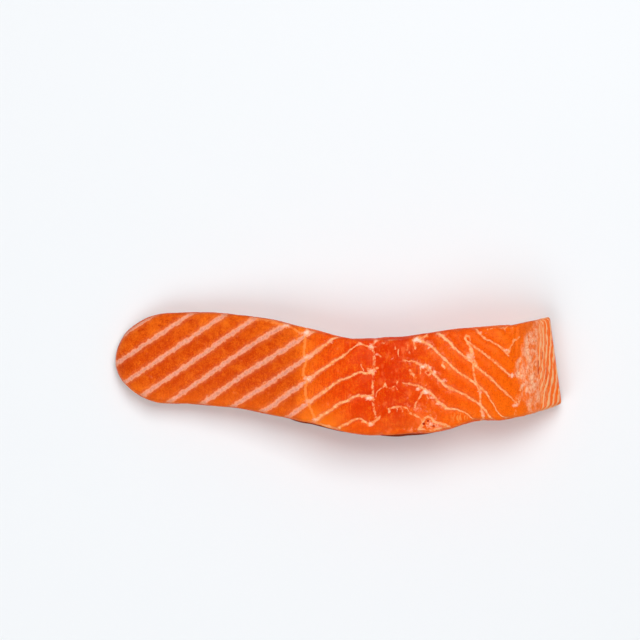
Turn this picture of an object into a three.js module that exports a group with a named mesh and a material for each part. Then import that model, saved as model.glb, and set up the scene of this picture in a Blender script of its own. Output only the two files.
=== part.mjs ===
// A thick portion of salmon fillet, cut straight across one side of the fish and lying on its skin.
// Millimetres, +Z up. X runs from the thin belly end to the back of the fish, and Y from the near
// knife cut to the far one. The skin lies flat on Z = 0.
//
// The portion is one solid, lofted from upright sections. Each section has a thin lip of skin at its
// foot, two walls left by the knife, and a crowned top. The sheets of white tissue between the flakes
// of muscle run through the flesh as a zigzag, and they show as furrows in the top and in the walls.

import * as THREE from "three";

// Driving dimensions
const LENGTH = 179.0;
const THICKEST = 28.2;
const SKIN = 1.0;
const SKIN_LIP = 0.25;
const TOP_EDGE_RADIUS = 1.8;
const CROWN = 0.055;
const WALL_BULGE = 0.6;
const BELLY_END_RADIUS = 21;
const BELLY_TIP_Y = 5.2;
const BELLY_TIP_THINNING = 0.6;
const BACK_EDGE_RADIUS = 1.0;
const BACK_SLANT = 0.14;

// Furrows and flakes
const FLAKE_PITCH = 9.3;
const FLAKE_LEAN = 1.6;
const FURROW_DEPTH = 0.4;
const FURROW_WIDTH = 1.2;
const FLAKE_SWELL = 0.2;
const FIRST_SHEET_Y = 42.7;
const BACK_RELIEF = 0.25;
const SMOOTH_TIP = 5;

// Fineness of the loft
const STEP_ALONG = 1.55;
const STEP_AT_BACK = 1.0;
const TIP_STEPS = 10;
const BACK_EDGE_STEPS = 4;
const WALL_POINTS = 6;
const EDGE_POINTS = 4;
const TOP_POINTS = 25;

// Places along X. The back band is where the sheets crowd together and the top slopes down to the skin.
const BELLY_TIP = -90.7;
const BACK_END = BELLY_TIP + LENGTH;
const BACK_BAND = 73;
const BACK_SLANT_START = 60;
const BACK_SLANT_END = 86;

const { clamp, lerp, smoothstep } = THREE.MathUtils;

// A smooth curve through [x, value] knots, as a function of x.
function through(knots) {
  const slopes = knots.map((knot, i) => {
    const before = knots[Math.max(i - 1, 0)];
    const after = knots[Math.min(i + 1, knots.length - 1)];
    return (after[1] - before[1]) / (after[0] - before[0]);
  });
  return (x) => {
    const last = knots.length - 2;
    let i = 0;
    while (i < last && x > knots[i + 1][0]) i += 1;
    const width = knots[i + 1][0] - knots[i][0];
    const s = clamp((x - knots[i][0]) / width, 0, 1);
    const rise = s * s * (3 - 2 * s);
    return (
      knots[i][1] * (1 - rise) +
      knots[i + 1][1] * rise +
      width * s * (1 - s) * (slopes[i] * (1 - s) - slopes[i + 1] * s)
    );
  };
}

// The two knife cuts, seen from above. Both bow towards the near side.
const nearCut = through([
  [-90.7, -8.8],
  [-72, -11.1],
  [-54, -12.4],
  [-35.8, -14.4],
  [-15.6, -19.2],
  [4.7, -23.7],
  [24.9, -25.1],
  [36.9, -23.9],
  [45.2, -21.9],
  [53.3, -19.4],
  [65.1, -18.6],
  [71, -17.2],
  [75.3, -16.2],
  [79.8, -14.6],
  [84.6, -12.9],
  [88.3, -11.5],
]);
const farCut = through([
  [-90.7, 22.7],
  [-72, 24.5],
  [-54, 25.0],
  [-35.8, 23.3],
  [-15.6, 19.2],
  [4.7, 14.6],
  [13, 14.3],
  [24.9, 15.0],
  [37.3, 16.8],
  [50, 18.0],
  [61.4, 19.2],
  [70.5, 20.0],
  [80, 21.7],
  [88.3, 23.1],
]);

// Height of the flesh along the portion: thin belly, a faint dip at the backbone, thick back.
const crest = through([
  [-90.7, 0.3 * THICKEST],
  [-80, 0.37 * THICKEST],
  [-60, 0.46 * THICKEST],
  [-35, 0.6 * THICKEST],
  [-14, 0.76 * THICKEST],
  [4, 0.88 * THICKEST],
  [15, 0.885 * THICKEST],
  [26, 0.94 * THICKEST],
  [48, THICKEST],
  [64, 0.97 * THICKEST],
  [75, 0.86 * THICKEST],
  [81, 0.68 * THICKEST],
  [85, 0.5 * THICKEST],
  [88.3, 0.34 * THICKEST],
]);

// How far each tissue sheet lies from the line across its middle: the fold that repeats every flake.
// It climbs over the belly, levels out at the backbone, drops to a notch and turns steeply at the back.
const fold = through([
  [-96, 70],
  [-64, 50],
  [-35.8, 31.8],
  [-26.5, 26.4],
  [-12.8, 17.5],
  [-1, 9.8],
  [5.1, 5.4],
  [8.7, 4.1],
  [12.4, 5.0],
  [15.5, 3.9],
  [19.6, 0.3],
  [30, 0.2],
  [36.4, 3.2],
  [41.2, 7.9],
  [49.3, 14.4],
  [53.4, 17.2],
  [61.5, 24.9],
  [69.6, 33.4],
  [71.6, 34.6],
  [73.4, 32.5],
  [75.5, 22],
  [79, 11],
  [83, -6.5],
  [88.3, -31],
]);

// 0 at the belly tip, rising round its blunt end to 1 where the portion has its full width.
function bellyRounding(x) {
  const reach = Math.max(0, BELLY_TIP + BELLY_END_RADIUS - x) / BELLY_END_RADIUS;
  return Math.sqrt(Math.max(0, 1 - Math.pow(reach, 2.3)));
}

// How far the outline draws in close to the back end, which rounds that end's edges.
function backDrawIn(x) {
  const reach = Math.max(0, x - (BACK_END - BACK_EDGE_RADIUS)) / BACK_EDGE_RADIUS;
  return BACK_EDGE_RADIUS * (1 - Math.sqrt(Math.max(0, 1 - reach * reach)));
}

// Slow unevenness of soft flesh, in millimetres.
function unevenness(x, y) {
  return (
    0.32 * Math.sin(x / 13 + 0.8) * Math.cos(y / 11 - 0.4) +
    0.2 * Math.sin(x / 6.1 + y / 8.3 + 2.1) +
    0.12 * Math.cos(x / 3.7 - y / 4.9)
  );
}

// Which sheet a point lies on: whole numbers are sheets, and the flakes lie between them. The sheets
// lean down the walls, so depth is how far below the top edge of the wall the point lies.
function sheetNumber(x, y, depth) {
  const lean = FLAKE_LEAN * (1 - smoothstep(x, BACK_BAND - 5, BACK_BAND + 11));
  return (FIRST_SHEET_Y - fold(x) - y - lean * depth) / FLAKE_PITCH;
}

// How far the surface stands out or in at a point, from the furrow at each sheet and the flake's swell.
function relief(x, y, depth) {
  const nudge = 0.5;
  const here = sheetNumber(x, y, depth);
  const along = (sheetNumber(x + nudge, y, depth) - here) / nudge;
  const across = (sheetNumber(x, y + nudge, depth) - here) / nudge;
  const steepness = Math.hypot(along, across);
  const away = Math.abs(here - Math.round(here));
  const distance = away / steepness;
  const furrow = Math.exp(-((distance / FURROW_WIDTH) ** 2));
  const strength = lerp(1, BACK_RELIEF, smoothstep(x, BACK_BAND - 1, BACK_BAND + 5));
  return strength * (FLAKE_SWELL * Math.sin(Math.PI * away) - FURROW_DEPTH * furrow);
}

// One upright section as a closed ring of [y, z], from the near foot over the top to the far foot.
function sectionRing(x) {
  const rounding = bellyRounding(x);
  const drawIn = backDrawIn(x);
  const middle = lerp(BELLY_TIP_Y, (nearCut(x) + farCut(x)) / 2, rounding);
  const half = (rounding * (farCut(x) - nearCut(x))) / 2 - drawIn;
  const height = crest(x) * (1 - BELLY_TIP_THINNING * (1 - rounding)) - drawIn;
  const radius = Math.min(TOP_EDGE_RADIUS, 0.4 * height, 0.5 * half);
  const wallTop = height * (1 - CROWN) - radius;

  const side = [
    [half, 0],
    [half, 0.85 * SKIN],
  ];
  for (let i = 0; i < WALL_POINTS; i += 1) {
    const share = i / (WALL_POINTS - 1);
    const lean = 0.8 * Math.sin(Math.PI * share) - share * share;
    side.push([half - SKIN_LIP + WALL_BULGE * lean, lerp(SKIN, wallTop, share)]);
  }
  const edgeStart = half - SKIN_LIP - WALL_BULGE - radius;
  for (let i = 1; i < EDGE_POINTS; i += 1) {
    const turn = (i / EDGE_POINTS) * (Math.PI / 2);
    side.push([edgeStart + radius * Math.cos(turn), wallTop + radius * Math.sin(turn)]);
  }

  const near = side.map(([out, z]) => [middle - out, z]);
  const far = side.map(([out, z]) => [middle + out, z]).reverse();
  const top = [];
  for (let i = 0; i < TOP_POINTS; i += 1) {
    const across = lerp(-1, 1, i / (TOP_POINTS - 1));
    top.push([middle + across * edgeStart, height * (1 - CROWN * across * across)]);
  }
  return { ring: [...near, ...top, ...far], wallTop, middle };
}

// A section's points in space, with the relief added along the ring's own outward normal.
function stationPoints(x) {
  const { ring, wallTop, middle } = sectionRing(x);
  const slant = BACK_SLANT * smoothstep(x, BACK_SLANT_START, BACK_SLANT_END);
  const tipFade = smoothstep(x, BELLY_TIP, BELLY_TIP + SMOOTH_TIP);
  return ring.map(([y, z], i) => {
    const shiftedX = x - slant * (y - middle);
    if (z < SKIN) return new THREE.Vector3(shiftedX, y, z);
    const [beforeY, beforeZ] = ring[i - 1];
    const [afterY, afterZ] = ring[i + 1];
    const span = Math.hypot(afterY - beforeY, afterZ - beforeZ);
    const fade = tipFade * smoothstep(z, SKIN, 3 * SKIN);
    const depth = Math.max(0, wallTop - z);
    const out = (fade * (relief(x, y, depth) + unevenness(x, y + 0.7 * z))) / span;
    return new THREE.Vector3(shiftedX, y - out * (afterZ - beforeZ), z + out * (afterY - beforeY));
  });
}

// Where the sections stand: close together round the belly tip, in the back band and at the back end.
function stationPlaces() {
  const places = [];
  for (let i = 1; i <= TIP_STEPS; i += 1) {
    const turn = (i / TIP_STEPS) * (Math.PI / 2);
    places.push(BELLY_TIP + BELLY_END_RADIUS * (1 - Math.cos(turn)));
  }
  const middleStart = BELLY_TIP + BELLY_END_RADIUS;
  const middleSteps = Math.round((BACK_BAND - middleStart) / STEP_ALONG);
  for (let i = 1; i <= middleSteps; i += 1) {
    places.push(lerp(middleStart, BACK_BAND, i / middleSteps));
  }
  const edgeStart = BACK_END - BACK_EDGE_RADIUS;
  const bandSteps = Math.round((edgeStart - BACK_BAND) / STEP_AT_BACK);
  for (let i = 1; i <= bandSteps; i += 1) {
    places.push(lerp(BACK_BAND, edgeStart, i / bandSteps));
  }
  for (let i = 1; i < BACK_EDGE_STEPS; i += 1) {
    const turn = (i / BACK_EDGE_STEPS) * (Math.PI / 2);
    places.push(edgeStart + BACK_EDGE_RADIUS * Math.sin(turn));
  }
  return places;
}

// Joins rings of equal length into one closed body, with a flat cap on each end ring.
function loft(rings) {
  const around = rings[0].length;
  const positions = rings.flat().flatMap((point) => point.toArray());
  const faces = [];
  for (let i = 0; i < rings.length - 1; i += 1) {
    for (let j = 0; j < around; j += 1) {
      const next = (j + 1) % around;
      const a = i * around + j;
      const b = i * around + next;
      faces.push(a, a + around, b, b, a + around, b + around);
    }
  }
  const cap = (ring, first, flipped) => {
    const outline = ring.map((point) => new THREE.Vector2(point.y, point.z));
    for (const [a, b, c] of THREE.ShapeUtils.triangulateShape(outline, [])) {
      if (flipped) faces.push(first + a, first + b, first + c);
      else faces.push(first + a, first + c, first + b);
    }
  };
  cap(rings[0], 0, false);
  cap(rings[rings.length - 1], (rings.length - 1) * around, true);
  const geometry = new THREE.BufferGeometry();
  geometry.setAttribute("position", new THREE.Float32BufferAttribute(positions, 3));
  geometry.setIndex(faces);
  geometry.computeVertexNormals();
  return geometry;
}

// Raw salmon: orange and moist.
function fleshMaterial() {
  return new THREE.MeshStandardMaterial({ color: 0xf0641c, roughness: 0.38, metalness: 0 });
}

function buildFillet() {
  const geometry = loft(stationPlaces().map(stationPoints));
  geometry.computeBoundingBox();
  const centre = geometry.boundingBox.getCenter(new THREE.Vector3());
  geometry.translate(-centre.x, -centre.y, -geometry.boundingBox.min.z);
  const fillet = new THREE.Mesh(geometry, fleshMaterial());
  fillet.name = "fillet";
  return fillet;
}

const salmonPortion = new THREE.Group();
salmonPortion.add(buildFillet());

export default salmonPortion;
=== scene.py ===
"""A thick portion of raw salmon fillet on its skin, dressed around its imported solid.

Shapes are worked out in millimetres in the drawing frame of the solid: X runs from the thin belly
end to the back of the fish, Y from the near knife cut to the far one, and Z up from the flat skin.
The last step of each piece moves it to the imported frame, in metres.
"""

import logging
import math
from dataclasses import dataclass
from enum import Enum
from itertools import product

import bpy
import numpy as np
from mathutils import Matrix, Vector


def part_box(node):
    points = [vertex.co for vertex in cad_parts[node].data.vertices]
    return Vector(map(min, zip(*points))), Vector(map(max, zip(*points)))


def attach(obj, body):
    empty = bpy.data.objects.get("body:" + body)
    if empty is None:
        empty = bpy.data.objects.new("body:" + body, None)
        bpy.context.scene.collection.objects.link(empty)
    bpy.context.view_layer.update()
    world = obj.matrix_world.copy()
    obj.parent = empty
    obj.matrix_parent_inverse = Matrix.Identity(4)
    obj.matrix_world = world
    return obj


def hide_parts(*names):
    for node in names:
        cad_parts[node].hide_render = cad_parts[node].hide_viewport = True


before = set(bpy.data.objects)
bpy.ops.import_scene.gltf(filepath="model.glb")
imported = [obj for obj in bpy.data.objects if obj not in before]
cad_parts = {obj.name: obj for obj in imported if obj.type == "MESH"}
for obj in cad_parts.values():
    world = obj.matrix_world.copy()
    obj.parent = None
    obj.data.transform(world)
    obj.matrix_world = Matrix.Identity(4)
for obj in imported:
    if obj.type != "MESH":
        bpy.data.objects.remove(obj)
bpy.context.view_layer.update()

log = logging.getLogger("salmon portion")

MM = 0.001
NODE = "fillet"
BODY = "root"

# Where a thin line is out of sight, in its half widths
FAR_AWAY = 9.0

Colour = tuple[float, float, float, float]
Point = tuple[float, float]
Range = tuple[float, float]
Zone = tuple[float, float, float, float]
Triple = tuple[float, float, float]


def srgb(red: int, green: int, blue: int) -> Colour:
    """Turn a display colour into the linear colour that shaders use.

    Args:
        red: red from 0 to 255.
        green: green from 0 to 255.
        blue: blue from 0 to 255.

    Returns:
        The linear colour with full opacity.
    """
    linear = []
    for part in (red / 255, green / 255, blue / 255):
        linear.append(part / 12.92 if part <= 0.04045 else ((part + 0.055) / 1.055) ** 2.4)
    return (linear[0], linear[1], linear[2], 1.0)


def smoothstep(value: np.ndarray, low: np.ndarray | float,
               high: np.ndarray | float) -> np.ndarray:
    """Rise smoothly from 0 to 1 between two values.

    Args:
        value: the numbers to grade.
        low: where the rise starts.
        high: where the rise ends.

    Returns:
        A share from 0 to 1 for each number.
    """
    share = np.clip((value - low) / (high - low), 0, 1)
    return share * share * (3 - 2 * share)


def lerp(start: np.ndarray | float, end: np.ndarray | float,
         share: np.ndarray | float) -> np.ndarray:
    """Go from one value to another by a share."""
    return start + (end - start) * share


def bell(away: np.ndarray, reach: np.ndarray | float) -> np.ndarray:
    """Fall off from 1 on both sides, to about a third at the reach."""
    return np.exp(-((away / reach) ** 2))


@dataclass(frozen=True)
class Course:
    """A smooth curve through knots, as a function of one coordinate.

    Attributes:
        knots: pairs of place and value, in millimetres, in rising order of place.
    """

    knots: tuple[Point, ...]

    def __call__(self, place: np.ndarray) -> np.ndarray:
        """Read the curve.

        Args:
            place: where it is read.

        Returns:
            Its value at each place, flat beyond the end knots.
        """
        places, values = np.array(self.knots).T
        order = np.arange(len(places))
        before = np.maximum(order - 1, 0)
        after = np.minimum(order + 1, len(places) - 1)
        slopes = (values[after] - values[before]) / (places[after] - places[before])
        i = np.clip(np.searchsorted(places, place) - 1, 0, len(places) - 2)
        width = places[i + 1] - places[i]
        s = np.clip((place - places[i]) / width, 0, 1)
        rise = s * s * (3 - 2 * s)
        bend = width * s * (1 - s) * (slopes[i] * (1 - s) - slopes[i + 1] * s)
        return values[i] * (1 - rise) + values[i + 1] * rise + bend


class SoftNoise:
    """Smooth seeded noise in space, about 0 and within 1 either way."""

    CELLS = 64

    def __init__(self, seed: int, pitch: float) -> None:
        """Fill the lattice.

        Args:
            seed: which noise it is.
            pitch: distance between its bumps, in millimetres.
        """
        self.lattice = np.random.default_rng(seed).uniform(-1, 1, (self.CELLS,) * 3)
        self.pitch = pitch

    def at(self, x: np.ndarray, y: np.ndarray, z: np.ndarray) -> np.ndarray:
        """Read the noise at points.

        Args:
            x: their place along the portion.
            y: their place across it.
            z: their height.

        Returns:
            One value a point.
        """
        scaled = np.stack([x, y, z]) / self.pitch
        cell = np.floor(scaled).astype(int)
        share = scaled - cell
        share = share * share * (3 - 2 * share)
        total = np.zeros(x.shape)
        for corner in product((0, 1), repeat=3):
            weight = np.ones(x.shape)
            for axis, step in enumerate(corner):
                weight = weight * (share[axis] if step else 1 - share[axis])
            index = [(cell[axis] + step) % self.CELLS for axis, step in enumerate(corner)]
            total = total + weight * self.lattice[index[0], index[1], index[2]]
        return total


class Cut(Enum):
    """The two knife cuts that bound the portion, as the direction in Y that each faces."""

    NEAR = -1
    FAR = 1


@dataclass(frozen=True)
class PortionForm:
    """The outer form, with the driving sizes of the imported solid.

    The walls are slightly steeper than the solid's, and the near cut is drawn in a little, where
    the skin's edge shows beside it and right of the middle.
    """

    belly_tip: float = -90.7
    length: float = 179.0
    thickest: float = 28.2
    skin: float = 1.0
    skin_lip: float = 0.1
    top_edge_radius: float = 1.8
    edge_share_of_height: float = 0.4
    edge_share_of_half: float = 0.5
    crown: float = 0.055
    wall_bulge: float = 0.16
    belly_end_radius: float = 21.0
    belly_end_power: float = 2.3
    belly_tip_y: float = 5.2
    belly_tip_thinning: float = 0.6
    back_edge_radius: float = 1.0
    back_slant: float = 0.14
    back_slant_range: Range = (60.0, 86.0)
    near_cut: Course = Course((
        (-90.7, -8.8), (-72, -11.1), (-54, -12.4), (-35.8, -14.4), (-15.6, -18.9), (-10.7, -19.6),
        (-6, -20.7), (-1, -22.1), (4.7, -23.4), (13.6, -24.3), (23.3, -24.5), (28.1, -24.1),
        (36.9, -23.3), (45.2, -21.8), (53.3, -19.3), (57.3, -18.6), (65.1, -18.5), (71.5, -16.8),
        (75.3, -16.2), (79.8, -14.6), (84.6, -12.9), (88.3, -11.5),
    ))
    far_cut: Course = Course((
        (-90.7, 22.7), (-72, 24.5), (-54, 25.0), (-35.8, 23.3), (-15.6, 19.2), (4.7, 14.6),
        (13, 14.3), (24.9, 15.0), (37.3, 16.8), (50, 18.0), (61.4, 19.2), (70.5, 20.0),
        (80, 21.7), (88.3, 23.1),
    ))
    crest: Course = Course((
        (-90.7, 0.3), (-80, 0.37), (-60, 0.46), (-35, 0.6), (-14, 0.76), (4, 0.88), (15, 0.885),
        (26, 0.94), (48, 1), (64, 0.97), (75, 0.86), (81, 0.68), (85, 0.5), (88.3, 0.34),
    ))

    @property
    def back_end(self) -> float:
        """Where the portion ends at the back of the fish."""
        return self.belly_tip + self.length

    def rounding(self, x: np.ndarray) -> np.ndarray:
        """Share of the full width that the blunt belly end leaves at each place."""
        reach = np.maximum(0, self.belly_tip + self.belly_end_radius - x) / self.belly_end_radius
        return np.sqrt(np.maximum(0, 1 - reach**self.belly_end_power))

    def draw_in(self, x: np.ndarray) -> np.ndarray:
        """How far the outline draws in close to the back end.

        Args:
            x: place of the section along the portion.

        Returns:
            Millimetres, 0 up to the rounded edge.
        """
        start = self.back_end - self.back_edge_radius
        reach = np.maximum(0, x - start) / self.back_edge_radius
        return self.back_edge_radius * (1 - np.sqrt(np.maximum(0, 1 - reach * reach)))

    def middle(self, x: np.ndarray) -> np.ndarray:
        """Where the middle between the two cuts lies."""
        centre = (self.near_cut(x) + self.far_cut(x)) / 2
        return lerp(self.belly_tip_y, centre, self.rounding(x))

    def half(self, x: np.ndarray) -> np.ndarray:
        """Half of the width at the skin."""
        width = self.far_cut(x) - self.near_cut(x)
        return self.rounding(x) * width / 2 - self.draw_in(x)

    def height(self, x: np.ndarray) -> np.ndarray:
        """Height of the top along its middle."""
        thinning = 1 - self.belly_tip_thinning * (1 - self.rounding(x))
        return self.thickest * self.crest(x) * thinning - self.draw_in(x)

    def radius(self, x: np.ndarray) -> np.ndarray:
        """Radius of the edge between the top and a cut.

        Args:
            x: place of the section along the portion.

        Returns:
            Millimetres, less where the section is low or narrow.
        """
        low = self.edge_share_of_height * self.height(x)
        narrow = self.edge_share_of_half * self.half(x)
        return np.minimum(self.top_edge_radius, np.minimum(low, narrow))

    def wall_top(self, x: np.ndarray) -> np.ndarray:
        """Height where a cut wall turns into its rounded edge."""
        return self.height(x) * (1 - self.crown) - self.radius(x)

    def drop(self, x: np.ndarray, y: np.ndarray, z: np.ndarray) -> np.ndarray:
        """How far points lie below the plain top, or below its rim for those on a wall.

        Args:
            x: place of the section along the portion.
            y: place across it.
            z: height.

        Returns:
            Millimetres, 0 on the top.
        """
        flat = np.maximum(self.half(x) - self.skin_lip - self.radius(x), 1)
        across = np.clip((y - self.middle(x)) / flat, -1, 1)
        return np.maximum(0, self.height(x) * (1 - self.crown * across**2) - z)

    def shifted(self, x: np.ndarray, y: np.ndarray) -> np.ndarray:
        """Lean the sections towards the slanted back end.

        Args:
            x: place of the section along the portion.
            y: place across it.

        Returns:
            The place along the portion, seen from above.
        """
        slant = self.back_slant * smoothstep(x, *self.back_slant_range)
        return x - slant * (y - self.middle(x))


@dataclass(frozen=True)
class Nudge:
    """A local change to one sheet's line.

    Attributes:
        sheet: number of the sheet.
        x: middle of the change along the portion.
        reach: half of its length.
        rise: how far the line moves towards the far cut.
        sheet_reach: how far from the sheet the change ends, as a share of the way to the next.
    """

    sheet: int
    x: float
    reach: float
    rise: float
    sheet_reach: float = 0.5

    def shift(self, number: np.ndarray, x: np.ndarray) -> np.ndarray:
        """How far the line moves at each point, in millimetres."""
        near = np.clip(1 - np.abs(number - self.sheet) / self.sheet_reach, 0, 1)
        return self.rise * near * bell(x - self.x, self.reach)


@dataclass(frozen=True)
class Sheets:
    """The white sheets between the flakes of muscle, whose edges are the pale lines.

    Whole sheet numbers are sheets and the flakes lie between them. The lines climb over the belly,
    level out at the backbone and drop to a notch, then fall away towards the back. The jog moves
    them along where the line towards the back crosses them.
    """

    pitch: float = 9.3
    lean: float = 1.6
    upright_range: Range = (68.0, 84.0)
    first_y: float = 42.7
    furrow_depth: float = 0.4
    furrow_width: float = 1.2
    swell: float = 0.2
    back_relief: float = 0.25
    back_relief_range: Range = (72.0, 78.0)
    belly_spread: float = 0.07
    belly_pivot: float = 1.8
    belly_end: Range = (-34.0, -8.0)
    jog: float = 1.2
    jog_place: float = 55.3
    jog_start: Range = (43.0, 52.5)
    jog_end: Range = (58.0, 67.5)
    apex_lean: float = 0.17
    apex_start: Range = (64.0, 70.0)
    slope_step: float = 0.5
    nudges: tuple[Nudge, ...] = (
        Nudge(0, 64.5, 4.5, -1.6),
        Nudge(3, 9.0, 4.5, 4.2),
        Nudge(6, 12.5, 2.6, -3.0),
        Nudge(3, 40, 6.0, 1.2),
        Nudge(5, 49.5, 4.5, 2.4),
        Nudge(3, 66.5, 5.5, -4.4),
        Nudge(2, 72.5, 3.0, -1.9),
    )
    fold: Course = Course((
        (-96, 70), (-64, 50), (-35.8, 31.8), (-26.5, 26.4), (-12.8, 17.4), (-1, 9.0), (5.1, 6.0),
        (8.7, 4.6), (12.4, 5.0), (15.5, 3.9), (19.6, 0.3), (30, 0.2), (36.4, 3.2), (41.2, 7.9),
        (49.3, 14.4), (53.4, 17.5), (61.5, 25.8), (69.6, 33.9), (71.6, 34.8), (73.4, 32.5),
        (75.5, 22), (79, 11), (83, -6.5), (88.3, -31),
    ))
    back_seam: Course = Course((
        (-20, 58.9), (-17.6, 58.5), (-9.4, 57.8), (-4.9, 56.6), (-1, 55.5), (3, 54.6),
        (7.3, 53.9), (10.9, 53), (15.3, 51.6),
    ))

    def number(self, x: np.ndarray, y: np.ndarray, depth: np.ndarray) -> np.ndarray:
        """Number of the sheet at each point, with flakes between whole numbers.

        Args:
            x: place along the portion.
            y: place across it.
            depth: how far below the top.

        Returns:
            The sheet number, which rises towards the near cut.
        """
        window = smoothstep(x, *self.jog_start) * (1 - smoothstep(x, *self.jog_end))
        jogged = x - self.jog * (self.back_seam(y) - self.jog_place) * window
        turned = jogged + self.apex_lean * y * smoothstep(x, *self.apex_start)
        lean = self.lean * (1 - smoothstep(x, *self.upright_range))
        belly = 1 - smoothstep(x, *self.belly_end)
        spread = y - self.belly_spread * belly * (y - self.belly_pivot)
        return (self.first_y - self.fold(turned) - spread - lean * depth) / self.pitch

    def nudged(self, number: np.ndarray, x: np.ndarray) -> np.ndarray:
        """Move single lines.

        Args:
            number: sheet number.
            x: place along the portion.

        Returns:
            The sheet number with all the nudges.
        """
        for nudge in self.nudges:
            number = number + nudge.shift(number, x) / self.pitch
        return number

    def gap(self, x: np.ndarray, y: np.ndarray, depth: np.ndarray) -> np.ndarray:
        """Distance from one sheet to the next, square to them, seen from above.

        Args:
            x: place along the portion.
            y: place across it.
            depth: how far below the top.

        Returns:
            Millimetres.
        """
        here = self.number(x, y, depth)
        along = (self.number(x + self.slope_step, y, depth) - here) / self.slope_step
        across = (self.number(x, y + self.slope_step, depth) - here) / self.slope_step
        return 1 / np.hypot(along, across)

    def relief(self, number: np.ndarray, gap: np.ndarray, x: np.ndarray) -> np.ndarray:
        """How far the surface stands out or in, from the furrows and the swell of the flakes.

        Args:
            number: sheet number.
            gap: distance between sheets.
            x: place along the portion.

        Returns:
            Millimetres, positive outwards.
        """
        away = np.abs(number - np.round(number))
        furrow = self.furrow_depth * bell(away * gap, self.furrow_width)
        strength = lerp(1, self.back_relief, smoothstep(x, *self.back_relief_range))
        return strength * (self.swell * np.sin(math.pi * away) - furrow)


@dataclass(frozen=True)
class Vein:
    """A thin pale line that isn't one of the sheets.

    Attributes:
        path: its points seen from above.
        half_width: half of its width, in millimetres.
        show: how strongly it shows, from 0 to 1.
    """

    path: tuple[Point, ...]
    half_width: float
    show: float

    def distance(self, x: np.ndarray, y: np.ndarray) -> np.ndarray:
        """Distance from each point to the line.

        Args:
            x: place of the points along the portion.
            y: place of the points across it.

        Returns:
            One distance a point, in half widths of the line.
        """
        nearest = np.full(x.shape, np.inf)
        for (ax, ay), (bx, by) in zip(self.path, self.path[1:]):
            run = (bx - ax, by - ay)
            share = ((x - ax) * run[0] + (y - ay) * run[1]) / (run[0] ** 2 + run[1] ** 2)
            share = np.clip(share, 0, 1)
            away = np.hypot(x - ax - share * run[0], y - ay - share * run[1])
            nearest = np.minimum(nearest, away)
        return nearest / self.half_width


@dataclass(frozen=True)
class Spot:
    """A soft oval patch seen from above, such as a blot of fat or a small pit.

    Attributes:
        x: its middle along the portion.
        y: its middle across it.
        reach_x: half of its size along the portion.
        reach_y: half of its size across it.
        show: how strongly it shows, from 0 to 1.
    """

    x: float
    y: float
    reach_x: float
    reach_y: float
    show: float

    def weight(self, x: np.ndarray, y: np.ndarray) -> np.ndarray:
        """Strength of the patch at each point."""
        away = ((x - self.x) / self.reach_x) ** 2 + ((y - self.y) / self.reach_y) ** 2
        return self.show * np.exp(-away)


class Lines:
    """The nearest of the thin lines at each point."""

    def __init__(self, x: np.ndarray) -> None:
        """Start far from any line.

        Args:
            x: place of the points along the portion.
        """
        self.reach = np.full(x.shape, FAR_AWAY)
        self.show = np.zeros(x.shape)

    def add(self, veins: tuple[Vein, ...], x: np.ndarray, y: np.ndarray,
            further: np.ndarray | float = 0.0) -> None:
        """Take in more lines.

        Args:
            veins: the lines.
            x: place of the points along the portion.
            y: place of the points across it.
            further: what is added to the distance, so as to hide them.
        """
        for vein in veins:
            away = vein.distance(x, y) + further
            self.show = np.where(away < self.reach, vein.show, self.show)
            self.reach = np.minimum(self.reach, away)


def strongest(spots: tuple[Spot, ...], x: np.ndarray, y: np.ndarray) -> np.ndarray:
    """Strength of the strongest patch at each point.

    Args:
        spots: the patches.
        x: place of the points along the portion.
        y: place of the points across it.

    Returns:
        One strength a point, 0 where no patch reaches.
    """
    total = np.zeros(x.shape)
    for spot in spots:
        total = np.maximum(total, spot.weight(x, y))
    return total


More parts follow.
